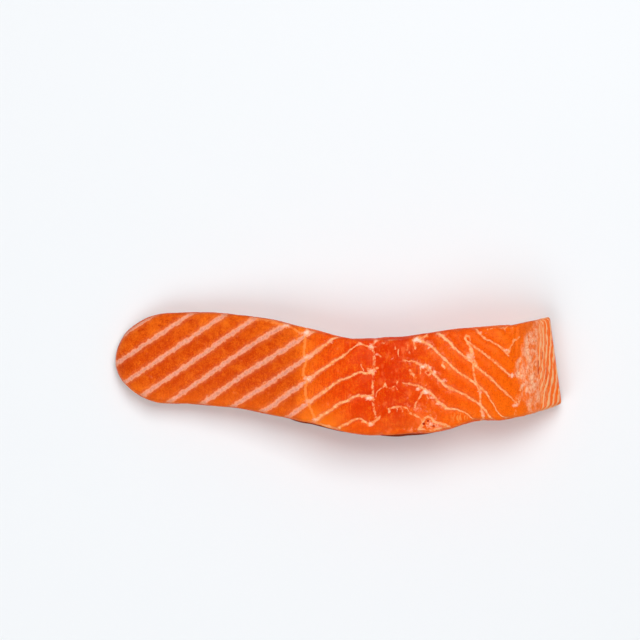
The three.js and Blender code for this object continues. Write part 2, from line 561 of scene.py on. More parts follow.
@dataclass(frozen=True)
class Markings:
    """Where the fat shows on the cut face, measured in millimetres seen from above.

    Ranges are places where something starts and where it is full, along the portion or, for
    first_sheets and beyond_twigs, in sheet numbers.
    """

    rib_line: Vein = Vein((
        (-12.4, 19), (-13.2, 15.6), (-13.8, 11.9), (-14.1, 8.4), (-13, 5.8), (-14.1, 2.3),
        (-14.3, -0.2), (-12.4, -1.8), (-13.4, -5.1), (-13.4, -8.4), (-12.6, -10.7), (-11.3, -14),
        (-9.5, -18), (-8.2, -22),
    ), 0.5, 0.95)
    mid_line: Vein = Vein((
        (15.4, 14.6), (14.9, 13.4), (13.6, 11.5), (14.5, 7.5), (14.4, 4.3), (13.6, 1.6), (14, -2.2),
        (14, -7.6), (12.8, -9.7), (14, -10.9), (14.3, -14.1), (15.4, -17.2), (13.6, -20),
    ), 0.44, 0.5)
    back_line: Vein = Vein((
        (51.2, 14.9), (52.3, 12.4), (53.9, 10.7), (54.5, 8.3), (54.5, 3.4), (54.8, 0.2),
        (55.4, -2.6), (56.7, -5.5), (57.4, -7.9), (57.3, -10.9), (57.7, -13.6), (58.5, -17.2),
        (59.4, -21),
    ), 0.4, 0.9)
    deep_line: Vein = Vein(((12.7, -20.6), (12.4, -27)), 0.4, 0.55)
    twigs: tuple[Vein, ...] = (
        Vein(((-35.8, 22.7), (-31, 22.1), (-26.1, 21.1), (-20.5, 19.1)), 0.5, 0.7),
        Vein(((-20.5, 19.1), (-18, 18.6), (-15.6, 17.1), (-13.2, 16.9)), 0.4, 0.7),
        Vein(((-12.4, -18.6), (-7, -20.1), (-1.4, -21.5)), 0.36, 0.8),
        Vein(((7.5, 13.4), (9.9, 11.9), (11.9, 11.1)), 0.34, 0.7),
        Vein(((9.1, 4.1), (10, 1.8)), 0.26, 0.6),
        Vein(((14, -4.4), (14, -7.6)), 0.45, 0.95),
        Vein(((9.5, -8.7), (11.7, -9.4), (14.5, -10.5)), 0.5, 1.0),
        Vein(((9.5, -18.7), (11.2, -19.6), (12.6, -20.6)), 0.42, 0.9),
        Vein(((12.8, -20.4), (14.6, -19), (16.9, -17.2)), 0.46, 0.9),
        Vein(((11.7, 2.3), (13.2, 1.2), (15.8, 2.7)), 0.42, 0.9),
        Vein(((10.2, 0.4), (12.8, 0.8), (14.3, 0.4)), 0.4, 0.9),
        Vein((
            (14.9, -9.4), (15.8, -7.6), (17.2, -5.7), (18.5, -4.8), (19, -3.6), (19.4, -4.7),
            (21.1, -5.4), (22.6, -6.6),
        ), 0.28, 0.5),
        Vein(((20.9, -5.3), (22.9, -4.6), (23.8, -6.2)), 0.26, 0.45),
        Vein(((24, -2.6), (23.8, -4.1)), 0.3, 0.6),
        Vein(((22.7, 12.4), (23, 10.4)), 0.24, 0.4),
        Vein(((24.2, 10.1), (24.4, 7.2)), 0.26, 0.5),
        Vein(((16, 13.4), (18.7, 12.9), (21.7, 14), (23.2, 14.5)), 0.36, 0.45),
        Vein(((28, 11.7), (28.1, 9.9), (28.9, 8.5)), 0.34, 0.6),
        Vein(((16.1, 7.9), (17, 7.2)), 0.3, 0.7),
        Vein(((28.8, 1.7), (30.5, -0.6), (31, -1.6)), 0.55, 0.6),
        Vein(((33.1, 3.1), (33.3, 0.2)), 0.28, 0.55),
        Vein((
            (35.1, 0.6), (35.4, 1.4), (36.2, 1.7), (37, 1.4), (37.3, 0.6), (36.2, -0.5),
            (35.1, 0.6),
        ), 0.28, 0.8),
        Vein(((41.9, 5.2), (42.1, 3.8), (43.1, 2.8)), 0.4, 0.6),
        Vein(((30.3, 14.2), (30.8, 12.4), (31, 10.2)), 0.38, 0.85),
        Vein(((29.9, 14.2), (32.4, 14.9), (36, 15.7)), 0.42, 0.9),
        Vein(((34.5, -6.9), (33.1, -8.4), (32.4, -9.8), (31.3, -11.6), (31, -13.7)), 0.36, 0.8),
        Vein(((35.8, -8.6), (36.6, -10), (35.6, -12)), 0.3, 0.55),
        Vein((
            (20.2, -14.2), (21.9, -13.6), (24.1, -12.9), (25.9, -12.9), (27.7, -13.6),
            (28.8, -15.3), (30.7, -16.1), (32.5, -17.3), (33.9, -18.4),
        ), 0.32, 0.75),
        Vein(((20.7, -14), (20.6, -15.7)), 0.26, 0.5),
        Vein(((23.7, -13.2), (23.5, -14.9)), 0.24, 0.5),
        Vein(((25.5, -13.2), (25.9, -15.2)), 0.26, 0.55),
        Vein(((36, -16.9), (34.2, -18.8), (33.4, -21), (32.6, -22)), 0.5, 0.9),
        Vein(((36, -16.9), (38.4, -18.7), (41, -19.8), (44.6, -21.2)), 0.46, 0.95),
        Vein(((32.8, -22.3), (38, -22.3), (43.5, -21.1)), 0.36, 0.7),
        Vein(((41.1, 16.2), (43.1, 15.8)), 0.32, 0.5),
        Vein(((51.2, 14.9), (51.7, 15.9), (52.6, 15.4), (53.2, 14.2)), 0.34, 0.9),
        Vein(((52.8, 7.7), (54.3, 5.9), (55.9, 3.7)), 0.65, 0.85),
        Vein(((53.2, 10.6), (54.6, 6.6)), 0.45, 0.9),
        Vein(((60.1, 18.2), (65.4, 18.7), (70.5, 19.1)), 0.26, 0.5),
        Vein(((68.6, 8.7), (69.7, 11.3), (71.2, 13.8), (73.5, 15.1)), 0.4, 0.8),
        Vein(((71.7, -12.4), (71.7, -16.6)), 0.4, 0.5),
        Vein(((72.2, -11.4), (73.4, -8.4), (74.4, -4.6)), 0.8, 0.42),
    )
    # Dark slits between fibres: painted shade in gaps that the relief leaves out.
    slits: tuple[Vein, ...] = (
        Vein(((81, 5.5), (81, 0.3)), 0.3, 1.0),
        Vein(((82.8, 9.1), (82.8, 6.3)), 0.26, 0.7),
        Vein(((84.2, 2.6), (84.2, -1.8)), 0.26, 0.7),
        Vein(((85.5, -2.2), (85.2, -4.7)), 0.26, 0.6),
        Vein(((-13.1, 14.9), (-11.1, 14.2)), 0.26, 0.7),
        Vein(((-4.3, 9.3), (-2.8, 12.2)), 0.24, 0.45),
        Vein(((-3, 9.2), (-1.5, 11.8)), 0.24, 0.45),
        Vein(((-10.2, 10.4), (-9.2, 12.8)), 0.24, 0.35),
        Vein(((-8.9, -1.4), (-7.9, 0.8)), 0.24, 0.35),
        Vein(((31.6, 3.2), (31.8, 0.6)), 0.5, 0.6),
        Vein(((54.5, 7.4), (54.7, 4.9)), 0.2, 0.6),
        Vein(((56.5, -4.6), (56.8, -5.7)), 0.22, 0.6),
    )
    blots: tuple[Spot, ...] = (
        Spot(31.6, 14.2, 1.9, 1.0, 1.6),
        Spot(33, 13.4, 1.0, 0.8, 1.2),
        Spot(37.4, 11.2, 1.5, 0.9, 0.85),
        Spot(40.2, 8.9, 1.5, 0.9, 0.7),
        Spot(43, 6.2, 1.3, 0.8, 0.65),
        Spot(34.3, 3.4, 1.6, 1.3, 1.0),
        Spot(36.8, 2.9, 1.5, 1.1, 1.0),
        Spot(38.8, 0.6, 1.3, 1.3, 0.9),
        Spot(42.4, -2.6, 1.2, 1.0, 1.1),
        Spot(32.4, -5.7, 1.3, 0.9, 1.0),
        Spot(35.4, -7.2, 2.0, 1.1, 1.3),
        Spot(38, -9.2, 1.4, 1.0, 0.9),
        Spot(40.8, -11.8, 1.8, 0.9, 0.95),
        Spot(37.6, -20, 3.8, 1.9, 0.68),
        Spot(13, 11.3, 1.3, 1.7, 0.95),
        Spot(14.9, 13.4, 1.2, 0.9, 0.8),
        Spot(15.6, 8.2, 0.7, 0.6, 0.8),
        Spot(13.2, 1.3, 1.9, 1.3, 0.95),
        Spot(14, -2.4, 1.1, 1.4, 0.6),
        Spot(12.4, -9.6, 2.0, 1.0, 1.1),
        Spot(16.1, -12.6, 0.8, 0.8, 0.75),
        Spot(13.2, -20, 1.5, 1.4, 0.9),
        Spot(21.5, 6, 0.8, 0.7, 0.8),
        Spot(53.7, 7.1, 2.2, 2.3, 0.8),
        Spot(57.3, -12.2, 1.2, 1.1, 0.9),
        Spot(58.4, -16.3, 1.3, 1.5, 0.85),
        Spot(57, -7, 0.9, 1.6, 0.6),
        Spot(57, 17, 2.6, 1.0, 0.7),
        Spot(68.1, 10, 1.3, 1.1, 0.9),
        Spot(69.9, -0.6, 1.3, 1.6, 0.9),
        Spot(71.9, -12.2, 1.5, 1.2, 0.9),
        Spot(-12.8, 6.8, 2.4, 1.7, 0.88),
        Spot(-12.2, -1.9, 2.3, 1.6, 0.9),
        Spot(-12.2, -10.6, 2.0, 1.4, 0.86),
        Spot(-9.1, -18, 1.6, 1.2, 0.8),
        Spot(-21.3, 19.6, 2.6, 1.4, 0.95),
        Spot(-12.9, 16.8, 2.6, 1.4, 1.15),
        Spot(-3.4, 13.6, 2.5, 1.3, 0.75),
        Spot(8.3, 12.4, 1.8, 1.2, 0.85),
        Spot(79, 13.6, 1.2, 2.4, 0.9),
        Spot(79.4, 18.4, 1.0, 1.6, 0.7),
    )
    # Small dents, darkened further with painted shade.
    pits: tuple[Spot, ...] = (
        Spot(36.2, 0.6, 0.6, 0.6, 0.6),
        Spot(34.5, -20, 0.7, 0.65, 1.0),
        Spot(36.2, -18.8, 0.6, 0.6, 0.9),
        Spot(38.5, -20.9, 0.8, 0.6, 0.8),
        Spot(31.7, 13.5, 0.6, 0.5, 0.6),
        Spot(13.1, 0.6, 0.4, 0.4, 0.6),
        Spot(14.9, 0.9, 0.4, 0.4, 0.6),
    )
    # A dent in the far edge, darkened with painted shadow.
    notch: Spot = Spot(11.3, 15.1, 3.2, 0.9, 0.9)
    hatched: Spot = Spot(49.5, -17.2, 4.5, 2.2, 1.0)
    seam_half: Course = Course((
        (-91, 0.9), (-36, 1.06), (-18, 1.04), (-13, 0.88), (-7.5, 0.6), (4.7, 0.38), (20, 0.26),
        (29, 0.3), (36, 0.42), (42, 0.44), (50, 0.36), (68, 0.36), (76, 0.34), (80, 0.22),
    ))
    seam_show: Course = Course((
        (-91, 1), (-14, 1), (-5, 0.95), (10, 0.9), (14, 0.6), (16, 0.05), (24.5, 0.05),
        (27, 0.5), (31, 0.65), (35, 0.9), (50, 0.95), (70, 1), (73, 0.6), (76, 0),
    ))
    marble_start: Course = Course((
        (-14.4, 76.8), (-11.9, 75), (-9, 73.6), (-3.2, 73.8), (-1, 72.3), (1.2, 70.9), (4.7, 72.3),
        (7.9, 74.1), (11.9, 74.9), (16, 76.1), (19.6, 79.2), (21.3, 79.4),
    ))
    marble_width: float = 1.8
    marble_depth: Range = (4.0, 9.0)
    near_marble: float = 0.7
    near_marble_range: Range = (-9.0, -3.0)
    band_start: Course = Course(((-13.2, 82), (-5.9, 81.6), (-0.2, 81), (6.7, 80.8), (19.2, 81.2)))
    band_blur: float = 0.9
    stripe_place: Course = Course((
        (-14, 7.6), (-7.4, 6.2), (-1.8, 4.1), (3.5, 2.8), (8.2, 2.0), (15, 0.8), (20, 0.4),
    ))
    stripe_pitch: Course = Course(((-13, 2.0), (-6, 1.8), (0, 1.55), (8, 1.4), (20, 1.4)))
    stripe_lean: float = 1.05
    first_sheets: Range = (1.3, 1.6)
    ribs_end: Range = (4.0, 10.0)
    back_start: Range = (50.5, 52.5)
    back_show: float = 0.55
    middle_start: Range = (15.0, 18.0)
    twig_sheet: int = 6
    beyond_twigs: Range = (6.4, 6.6)
    twig_end: Range = (46.0, 50.0)
    hook_sheet: int = 3
    hook_end: Range = (30.0, 31.2)
    sheet_reach: float = 0.45
    sheet_fade: float = 0.3
    apex_lean: float = 0.15
    apex_range: Range = (70.0, 70.9)

    def long_lines(self) -> tuple[Vein, ...]:
        """The three lines that cross the portion and run on down its cut sides."""
        return (self.rib_line, self.mid_line, self.back_line)

    def close_to(self, number: np.ndarray, sheet: int) -> np.ndarray:
        """Share by which points belong to one sheet, 1 along it and 0 half way to the next."""
        return np.clip((self.sheet_reach - np.abs(number - sheet)) / self.sheet_fade, 0, 1)

    def presence(self, number: np.ndarray, x: np.ndarray, y: np.ndarray) -> np.ndarray:
        """Where a sheet shows on the top.

        The first ones show only over the ribs and, more faintly, by the back. Right of the middle
        the sixth breaks up into twigs and the third starts again at its hook. All end at the apex
        in front of the marbled area.

        Args:
            number: sheet number.
            x: place along the portion.
            y: place across it.

        Returns:
            1 where the sheet shows and 0 where it doesn't.
        """
        faint = 1 - self.back_show * smoothstep(x, *self.back_start)
        first = (1 - smoothstep(number, *self.first_sheets)) * smoothstep(x, *self.ribs_end) * faint
        broken = np.maximum(
            self.close_to(number, self.twig_sheet), smoothstep(number, *self.beyond_twigs),
        ) * (1 - smoothstep(x, *self.twig_end))
        hooked = self.close_to(number, self.hook_sheet) * (1 - smoothstep(x, *self.hook_end))
        lost = smoothstep(x, *self.middle_start) * np.maximum(broken, hooked)
        past_apex = smoothstep(x + self.apex_lean * y, *self.apex_range)
        return (1 - first) * (1 - lost) * (1 - past_apex)


@dataclass
class Ring:
    """Points of many upright sections at once, each array with a row for a section.

    Attributes:
        x: place of each section along the portion, once for every point.
        y: place across.
        z: height.
    """

    x: np.ndarray
    y: np.ndarray
    z: np.ndarray


class Body:
    """Joins rings of equal length into one closed mesh."""

    def __init__(self, name: str, ring: Ring, shift: np.ndarray) -> None:
        """Make the mesh and its object.

        Args:
            name: name of the piece.
            ring: its sections, with capped ends.
            shift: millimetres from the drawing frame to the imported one.
        """
        self.name = name
        points = np.stack([ring.x, ring.y, ring.z], axis=-1)
        sections, around = ring.x.shape
        index = np.arange(sections * around).reshape(sections, around)
        after = np.roll(index, -1, axis=1)
        quads = np.stack([index[:-1], index[1:], after[1:], after[:-1]], axis=-1).reshape(-1, 4)
        faces = quads.tolist() + [index[0].tolist(), index[-1][::-1].tolist()]
        self.mesh = bpy.data.meshes.new(name)
        self.mesh.from_pydata(((points.reshape(-1, 3) + shift) * MM).tolist(), [], faces)
        self.mesh.validate()
        self.mesh.shade_smooth()
        self.piece = bpy.data.objects.new(name, self.mesh)
        bpy.context.scene.collection.objects.link(self.piece)

    def mark(self, name: str, values: np.ndarray) -> None:
        """Give each point a number that the material reads.

        Args:
            name: name of the number.
            values: one value a point, in the order of the rings.
        """
        attribute = self.mesh.attributes.new(name, "FLOAT", "POINT")
        attribute.data.foreach_set("value", values.reshape(-1).astype(np.float32))

    def finish(self, material: bpy.types.Material) -> bpy.types.Object:
        """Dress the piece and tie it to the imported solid.

        Args:
            material: its finish.

        Returns:
            The piece.
        """
        self.mesh.materials.append(material)
        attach(self.piece, BODY)
        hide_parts(NODE)
        log.info("%s: %d faces", self.name, len(self.mesh.polygons))
        return self.piece


@dataclass(frozen=True)
class Points:
    """Where points lie on the plain form.

    Attributes:
        section: place of their section along the portion.
        x: place along the portion, seen from above.
        y: place across it.
        z: height.
        depth: how far below the top of the cut wall.
        drop: how far below the plain top.
    """

    section: np.ndarray
    x: np.ndarray
    y: np.ndarray
    z: np.ndarray
    depth: np.ndarray
    drop: np.ndarray

    def noise(self, seed: int, pitch: float) -> np.ndarray:
        """Smooth noise at the points."""
        return SoftNoise(seed, pitch).at(self.x, self.y, self.z)


@dataclass(frozen=True)
class Relief:
    """How far things stand out from the plain form, in millimetres, with furrows below 0.

    The reach of a line is in its half widths, and a pitch is the distance between bumps.
    """

    slow_swell: float = 0.32
    middling_swell: float = 0.2
    quick_swell: float = 0.12
    swell_down_walls: float = 0.7
    seam: float = 0.12
    mid_line: float = -0.25
    mid_reach: float = 4.0
    back_line: float = -0.2
    back_reach: float = 3.0
    rib_line: float = 0.08
    rib_reach: float = 2.0
    thin_line: float = 0.05
    thin_reach: float = 1.2
    blot: float = 0.14
    pit: float = -0.7
    notch: float = -0.8
    stripe: float = 0.14
    marble: float = 0.22
    marble_pitch: float = 1.3
    lumps: float = 0.12
    lump_pitch: float = 4.1
    grain: float = 0.06
    grain_pitch: float = 1.1

    def unevenness(self, x: np.ndarray, y: np.ndarray) -> np.ndarray:
        """Slow unevenness of soft flesh, the same waves as on the solid.

        Args:
            x: place along the portion.
            y: place across it, counted on down the walls.

        Returns:
            Millimetres, positive outwards.
        """
        slow = self.slow_swell * np.sin(x / 13 + 0.8) * np.cos(y / 11 - 0.4)
        middling = self.middling_swell * np.sin(x / 6.1 + y / 8.3 + 2.1)
        return slow + middling + self.quick_swell * np.cos(x / 3.7 - y / 4.9)


@dataclass(frozen=True)
class Flesh:
    """The muscle and fat of the portion, down to the skin.

    Attributes:
        form: outer form.
        sheets: the white sheets between the flakes.
        markings: where other fat shows.
        stand: how far everything stands out.
    """

    form: PortionForm
    sheets: Sheets
    markings: Markings
    stand: Relief = Relief()
    foot: float = 0.45
    foot_inset: float = 0.5
    tip_steps: int = 26
    step_along: float = 0.41
    back_edge_steps: int = 8
    cap_steps: int = 7
    wall_points: int = 30
    edge_points: int = 7
    top_points: int = 92
    smooth_tip: float = 5.0
    smooth_foot: float = 3.0
    top_end: Range = (0.9, 2.4)
    wall_start: Range = (0.9, 2.0)
    wall_seam_start: Range = (1.2, 4.5)
    wall_seam_show: float = 0.8
    wall_seam_end: Range = (71.0, 79.5)
    wall_slope: float = 0.12
    wander: float = 1.3
    wander_pitch: float = 6.0
    wander_start: Range = (1.0, 5.0)
    curl: float = 0.5
    curl_pitch: float = 1.8

    def places(self) -> np.ndarray:
        """Space the sections, close together round the belly tip and the back end.

        Returns:
            Where they stand along the portion.
        """
        form = self.form
        turns = np.arange(1, self.tip_steps + 1) / self.tip_steps * math.pi / 2
        tip = form.belly_tip + form.belly_end_radius * (1 - np.cos(turns))
        edge_start = form.back_end - form.back_edge_radius
        steps = round((edge_start - tip[-1]) / self.step_along)
        middle = np.linspace(tip[-1], edge_start, steps + 1)[1:]
        turns = np.arange(1, self.back_edge_steps) / self.back_edge_steps * math.pi / 2
        back = edge_start + form.back_edge_radius * np.sin(turns)
        return np.concatenate([tip, middle, back])

    def side(self, x: np.ndarray, cut: Cut) -> tuple[np.ndarray, np.ndarray]:
        """One cut wall and its rounded edge, from the foot up.

        Args:
            x: place of the sections, one column.
            cut: which of the two cuts.

        Returns:
            Place across and height of the points, a row for each section.
        """
        form = self.form
        half = form.half(x)
        radius = form.radius(x)
        wall_top = form.wall_top(x)
        share = np.linspace(0, 1, self.wall_points)
        bulge = form.wall_bulge * np.sin(math.pi * share)
        turn = np.arange(1, self.edge_points) / self.edge_points * math.pi / 2
        edge_start = half - form.skin_lip - radius
        out = np.concatenate([
            half - self.foot_inset,
            half - form.skin_lip + bulge,
            edge_start + radius * np.cos(turn),
        ], axis=1)
        z = np.concatenate([
            np.full(x.shape, self.foot),
            lerp(form.skin, wall_top, share),
            wall_top + radius * np.sin(turn),
        ], axis=1)
        return form.middle(x) + cut.value * out, z

    def plain_ring(self, places: np.ndarray) -> Ring:
        """The sections without relief.

        Args:
            places: where they stand.

        Returns:
            Points from the near foot over the top to the far foot.
        """
        form = self.form
        x = places[:, None]
        near_y, near_z = self.side(x, Cut.NEAR)
        far_y, far_z = self.side(x, Cut.FAR)
        across = np.linspace(-1, 1, self.top_points)
        edge_start = form.half(x) - form.skin_lip - form.radius(x)
        top_y = form.middle(x) + across * edge_start
        top_z = form.height(x) * (1 - form.crown * across**2)
        y = np.concatenate([near_y, top_y, far_y[:, ::-1]], axis=1)
        z = np.concatenate([near_z, top_z, far_z[:, ::-1]], axis=1)
        return Ring(np.broadcast_to(x, y.shape).copy(), y, z)

    def capped(self, ring: Ring) -> Ring:
        """Add rings that shrink over the back end, so that its face carries the pattern too.

        Args:
            ring: the sections.

        Returns:
            The sections with the rings of the end face after them.
        """
        shares = np.arange(1, self.cap_steps) / self.cap_steps
        x, y, z = ring.x[-1], ring.y[-1], ring.z[-1]
        centre_y, centre_z = y.mean(), (z.min() + z.max()) / 2
        y_rows = [lerp(y, centre_y, share) for share in shares]
        z_rows = [lerp(z, centre_z, share) for share in shares]
        return Ring(
            np.concatenate([ring.x, np.tile(x, (len(shares), 1))]),
            np.concatenate([ring.y, y_rows]),
            np.concatenate([ring.z, z_rows]),
        )

    def points(self, ring: Ring) -> Points:
        """Measure where the points of the sections lie.

        Args:
            ring: the sections without relief.

        Returns:
            Their places.
        """
        form = self.form
        depth = np.maximum(0, form.wall_top(ring.x) - ring.z)
        drop = form.drop(ring.x, ring.y, ring.z)
        return Points(ring.x, form.shifted(ring.x, ring.y), ring.y, ring.z, depth, drop)

    def sheet_numbers(self, at: Points) -> dict[str, np.ndarray]:
        """Work out where the sheets lie, how wide they are and how strongly they show.

        Args:
            at: the points.

        Returns:
            Arrays by name.
        """
        marks = self.markings
        number = self.sheets.nudged(self.sheets.number(at.x, at.y, at.depth), at.x)
        on_top = marks.seam_show(at.x) * marks.presence(number, at.x, at.y)
        on_wall = self.wall_seam_show * (1 - smoothstep(at.x, *self.wall_seam_end))
        return {
            "sheet": number,
            "gap": self.sheets.gap(at.x, at.y, at.depth),
            "seam_half": marks.seam_half(at.x),
            "seam_show": lerp(on_top, on_wall, smoothstep(at.drop, *self.wall_seam_start)),
        }

    def thin_marks(self, at: Points) -> dict[str, np.ndarray]:
        """Work out the thin lines, which wander down the walls, and the slits and patches.

        Args:
            at: the points.

        Returns:
            Arrays by name.
        """
        marks = self.markings
        wall = smoothstep(at.drop, *self.wall_start)
        on_top = 1 - smoothstep(at.drop, *self.top_end)
        wander = self.wander * smoothstep(at.drop, *self.wander_start)
        bent = at.x + self.wall_slope * at.depth + wander * at.noise(23, self.wander_pitch)
        curl_x = at.x + self.curl * at.noise(21, self.curl_pitch)
        curl_y = at.y + self.curl * at.noise(22, self.curl_pitch)
        lines = Lines(at.x)
        lines.add(marks.long_lines(), bent, at.y)
        lines.add((marks.deep_line,), bent, at.y, FAR_AWAY * (1 - wall))
        lines.add(marks.twigs, curl_x, curl_y, FAR_AWAY * wall)
        slits = Lines(at.x)
        slits.add(marks.slits, at.x, at.y, FAR_AWAY * wall)
        return {
            "vein": lines.reach,
            "vein_show": lines.show,
            "slit": slits.reach,
            "slit_show": slits.show,
            "blot": strongest(marks.blots, curl_x, curl_y) * on_top,
            "pit": strongest(marks.pits, at.x, at.y) * on_top,
            "notch": marks.notch.weight(at.x, at.y) * on_top,
            "hatched": marks.hatched.weight(at.x, at.y) * on_top,
        }

    def back_marks(self, at: Points) -> dict[str, np.ndarray]:
        """Work out the marbled area and the striped band at the back end.

        Args:
            at: the points.

        Returns:
            Arrays by name.
        """
        marks = self.markings
        edge = marks.band_start(at.y)
        band = smoothstep(at.x, edge - marks.band_blur, edge + marks.band_blur)
        inwards = self.form.back_end - at.section
        stripe = inwards - marks.stripe_place(at.y) - marks.stripe_lean * at.drop
        start = marks.marble_start(at.y)
        inside = smoothstep(at.x, start - marks.marble_width, start + marks.marble_width)
        weaker = lerp(marks.near_marble, 1, smoothstep(at.y, *marks.near_marble_range))
        shallow = 1 - smoothstep(at.depth, *marks.marble_depth)
        return {
            "band": band,
            "stripe": stripe / marks.stripe_pitch(at.y),
            "marble": inside * (1 - band) * weaker * shallow,
        }

    def numbers(self, at: Points) -> dict[str, np.ndarray]:
        """Work out what the material and the relief read at each point.

        Args:
            at: the points.

        Returns:
            Arrays by name, each with one value a point.
        """
        form = self.form
        across = (at.y - form.middle(at.section)) / np.maximum(form.half(at.section), 1)
        places = {"along": at.x, "across": across, "height": at.z, "depth": at.depth}
        return places | self.sheet_numbers(at) | self.thin_marks(at) | self.back_marks(at)

    def relief(self, at: Points, found: dict[str, np.ndarray]) -> np.ndarray:
        """How far each point stands out from the plain form.

        Args:
            at: the points.
            found: the numbers that were worked out for them.

        Returns:
            Millimetres, positive outwards.
        """
        form, marks, stand = self.form, self.markings, self.stand
        sheet, gap = found["sheet"], found["gap"]
        from_sheet = np.abs(sheet - np.round(sheet)) * gap
        out = self.sheets.relief(sheet, gap, at.x)
        out = out + stand.unevenness(at.section, at.y + stand.swell_down_walls * at.z)
        out = out + stand.seam * found["seam_show"] * bell(from_sheet, found["seam_half"])
        out = out + stand.mid_line * bell(marks.mid_line.distance(at.x, at.y), stand.mid_reach)
        out = out + stand.back_line * bell(marks.back_line.distance(at.x, at.y), stand.back_reach)
        out = out + stand.rib_line * bell(marks.rib_line.distance(at.x, at.y), stand.rib_reach)
        out = out + stand.thin_line * bell(found["vein"], stand.thin_reach)
        out = out + stand.blot * found["blot"] + stand.pit * found["pit"]
        out = out + stand.notch * found["notch"]
        out = out + stand.stripe * found["band"] * np.cos(2 * math.pi * found["stripe"])
        out = out + stand.marble * found["marble"] * at.noise(11, stand.marble_pitch)
        out = out + stand.lumps * at.noise(12, stand.lump_pitch)
        out = out + stand.grain * at.noise(13, stand.grain_pitch)
        fade = smoothstep(at.section, form.belly_tip, form.belly_tip + self.smooth_tip)
        return out * fade * smoothstep(at.z, form.skin, self.smooth_foot)

    def raised(self, ring: Ring, out: np.ndarray) -> Ring:
        """Move each point along its section's outward normal.

        Args:
            ring: the sections without relief.
            out: how far each point moves.

        Returns:
            The sections as they are, leaning with the slanted back end.
        """
        across = np.gradient(ring.y, axis=1)
        up = np.gradient(ring.z, axis=1)
        span = np.maximum(np.hypot(across, up), 1e-6)
        y = ring.y - out * up / span
        z = ring.z + out * across / span
        return Ring(self.form.shifted(ring.x, ring.y), y, z)

    def build(self, shift: np.ndarray, material: bpy.types.Material) -> bpy.types.Object:
        """Make the flesh.

        Args:
            shift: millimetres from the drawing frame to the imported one.
            material: its finish.

        Returns:
            The piece.
        """
        ring = self.capped(self.plain_ring(self.places()))
        at = self.points(ring)
        found = self.numbers(at)
        body = Body("salmon_flesh", self.raised(ring, self.relief(at, found)), shift)
        for name, values in found.items():
            body.mark(name, values)
        return body.finish(material)


@dataclass(frozen=True)
class Skin:
    """The thin skin under the portion, whose edge shows along parts of the near cut.

    Attributes:
        form: outer form.
    """

    form: PortionForm
    thickness: float = 0.85
    far_inset: float = 0.4
    edge_radius: float = 0.3
    steps: int = 300
    tip_turn: float = 0.06
    back_turn: float = 0.02
    bottom_points: int = 24
    edge_points: int = 5
    ripple: float = 0.08
    far_ripple: float = 0.5
    darkening: Range = (-70.0, 80.0)
    lip: Course = Course((
        (-88, -0.4), (-60, -0.4), (-24, -0.3), (-17, 0.6), (-10, 0.85), (-1, 0.75), (6, 0.2),
        (13, 0.2), (20, 0.7), (28, 0.95), (38, 0.85), (46, -0.2), (88, -0.4),
    ))

    def ring(self) -> Ring:
        """Lay out the sections, round from the near edge over the top to the far one and back.

        Returns:
            The sections, leaning with the slanted back end.
        """
        form = self.form
        turn = np.linspace(self.tip_turn, math.pi - self.back_turn, self.steps)
        x = lerp(form.belly_tip, form.back_end, (1 - np.cos(turn)) / 2)[:, None]
        turn = np.linspace(-math.pi / 2, math.pi / 2, 2 * self.edge_points)
        out = self.edge_radius * (np.cos(turn) - 1)
        rise = self.thickness / 2 * (1 + np.sin(turn))
        ripple = self.ripple * np.sin(x / 2.3 + 1.1) * np.sin(x / 5.1)
        near_edge = form.middle(x) - form.half(x) - self.lip(x) - ripple
        far_edge = form.middle(x) + form.half(x) - self.far_inset + self.far_ripple * ripple
        share = np.linspace(0, 1, self.bottom_points)[1:-1]
        bottom = lerp(near_edge + self.edge_radius, far_edge - self.edge_radius, share)
        far_y = far_edge + out
        near_y = near_edge - out[::-1]
        top = lerp(far_y[:, -1:], near_y[:, :1], share)
        flat = np.zeros(share.shape)
        y = np.concatenate([bottom, far_y, top, near_y], axis=1)[:, ::-1]
        z = np.concatenate([flat, rise, flat + self.thickness, rise[::-1]])[::-1]
        return Ring(form.shifted(x, y), y, np.broadcast_to(z, y.shape))

    def build(self, shift: np.ndarray, material: bpy.types.Material) -> bpy.types.Object:
        """Make the skin.

        Args:
            shift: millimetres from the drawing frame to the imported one.
            material: its finish.

        Returns:
            The piece.
        """
        ring = self.ring()
        body = Body("salmon_skin", ring, shift)
        body.mark("back_share", smoothstep(ring.x, *self.darkening))
        body.mark("height", ring.z)
        return body.finish(material)


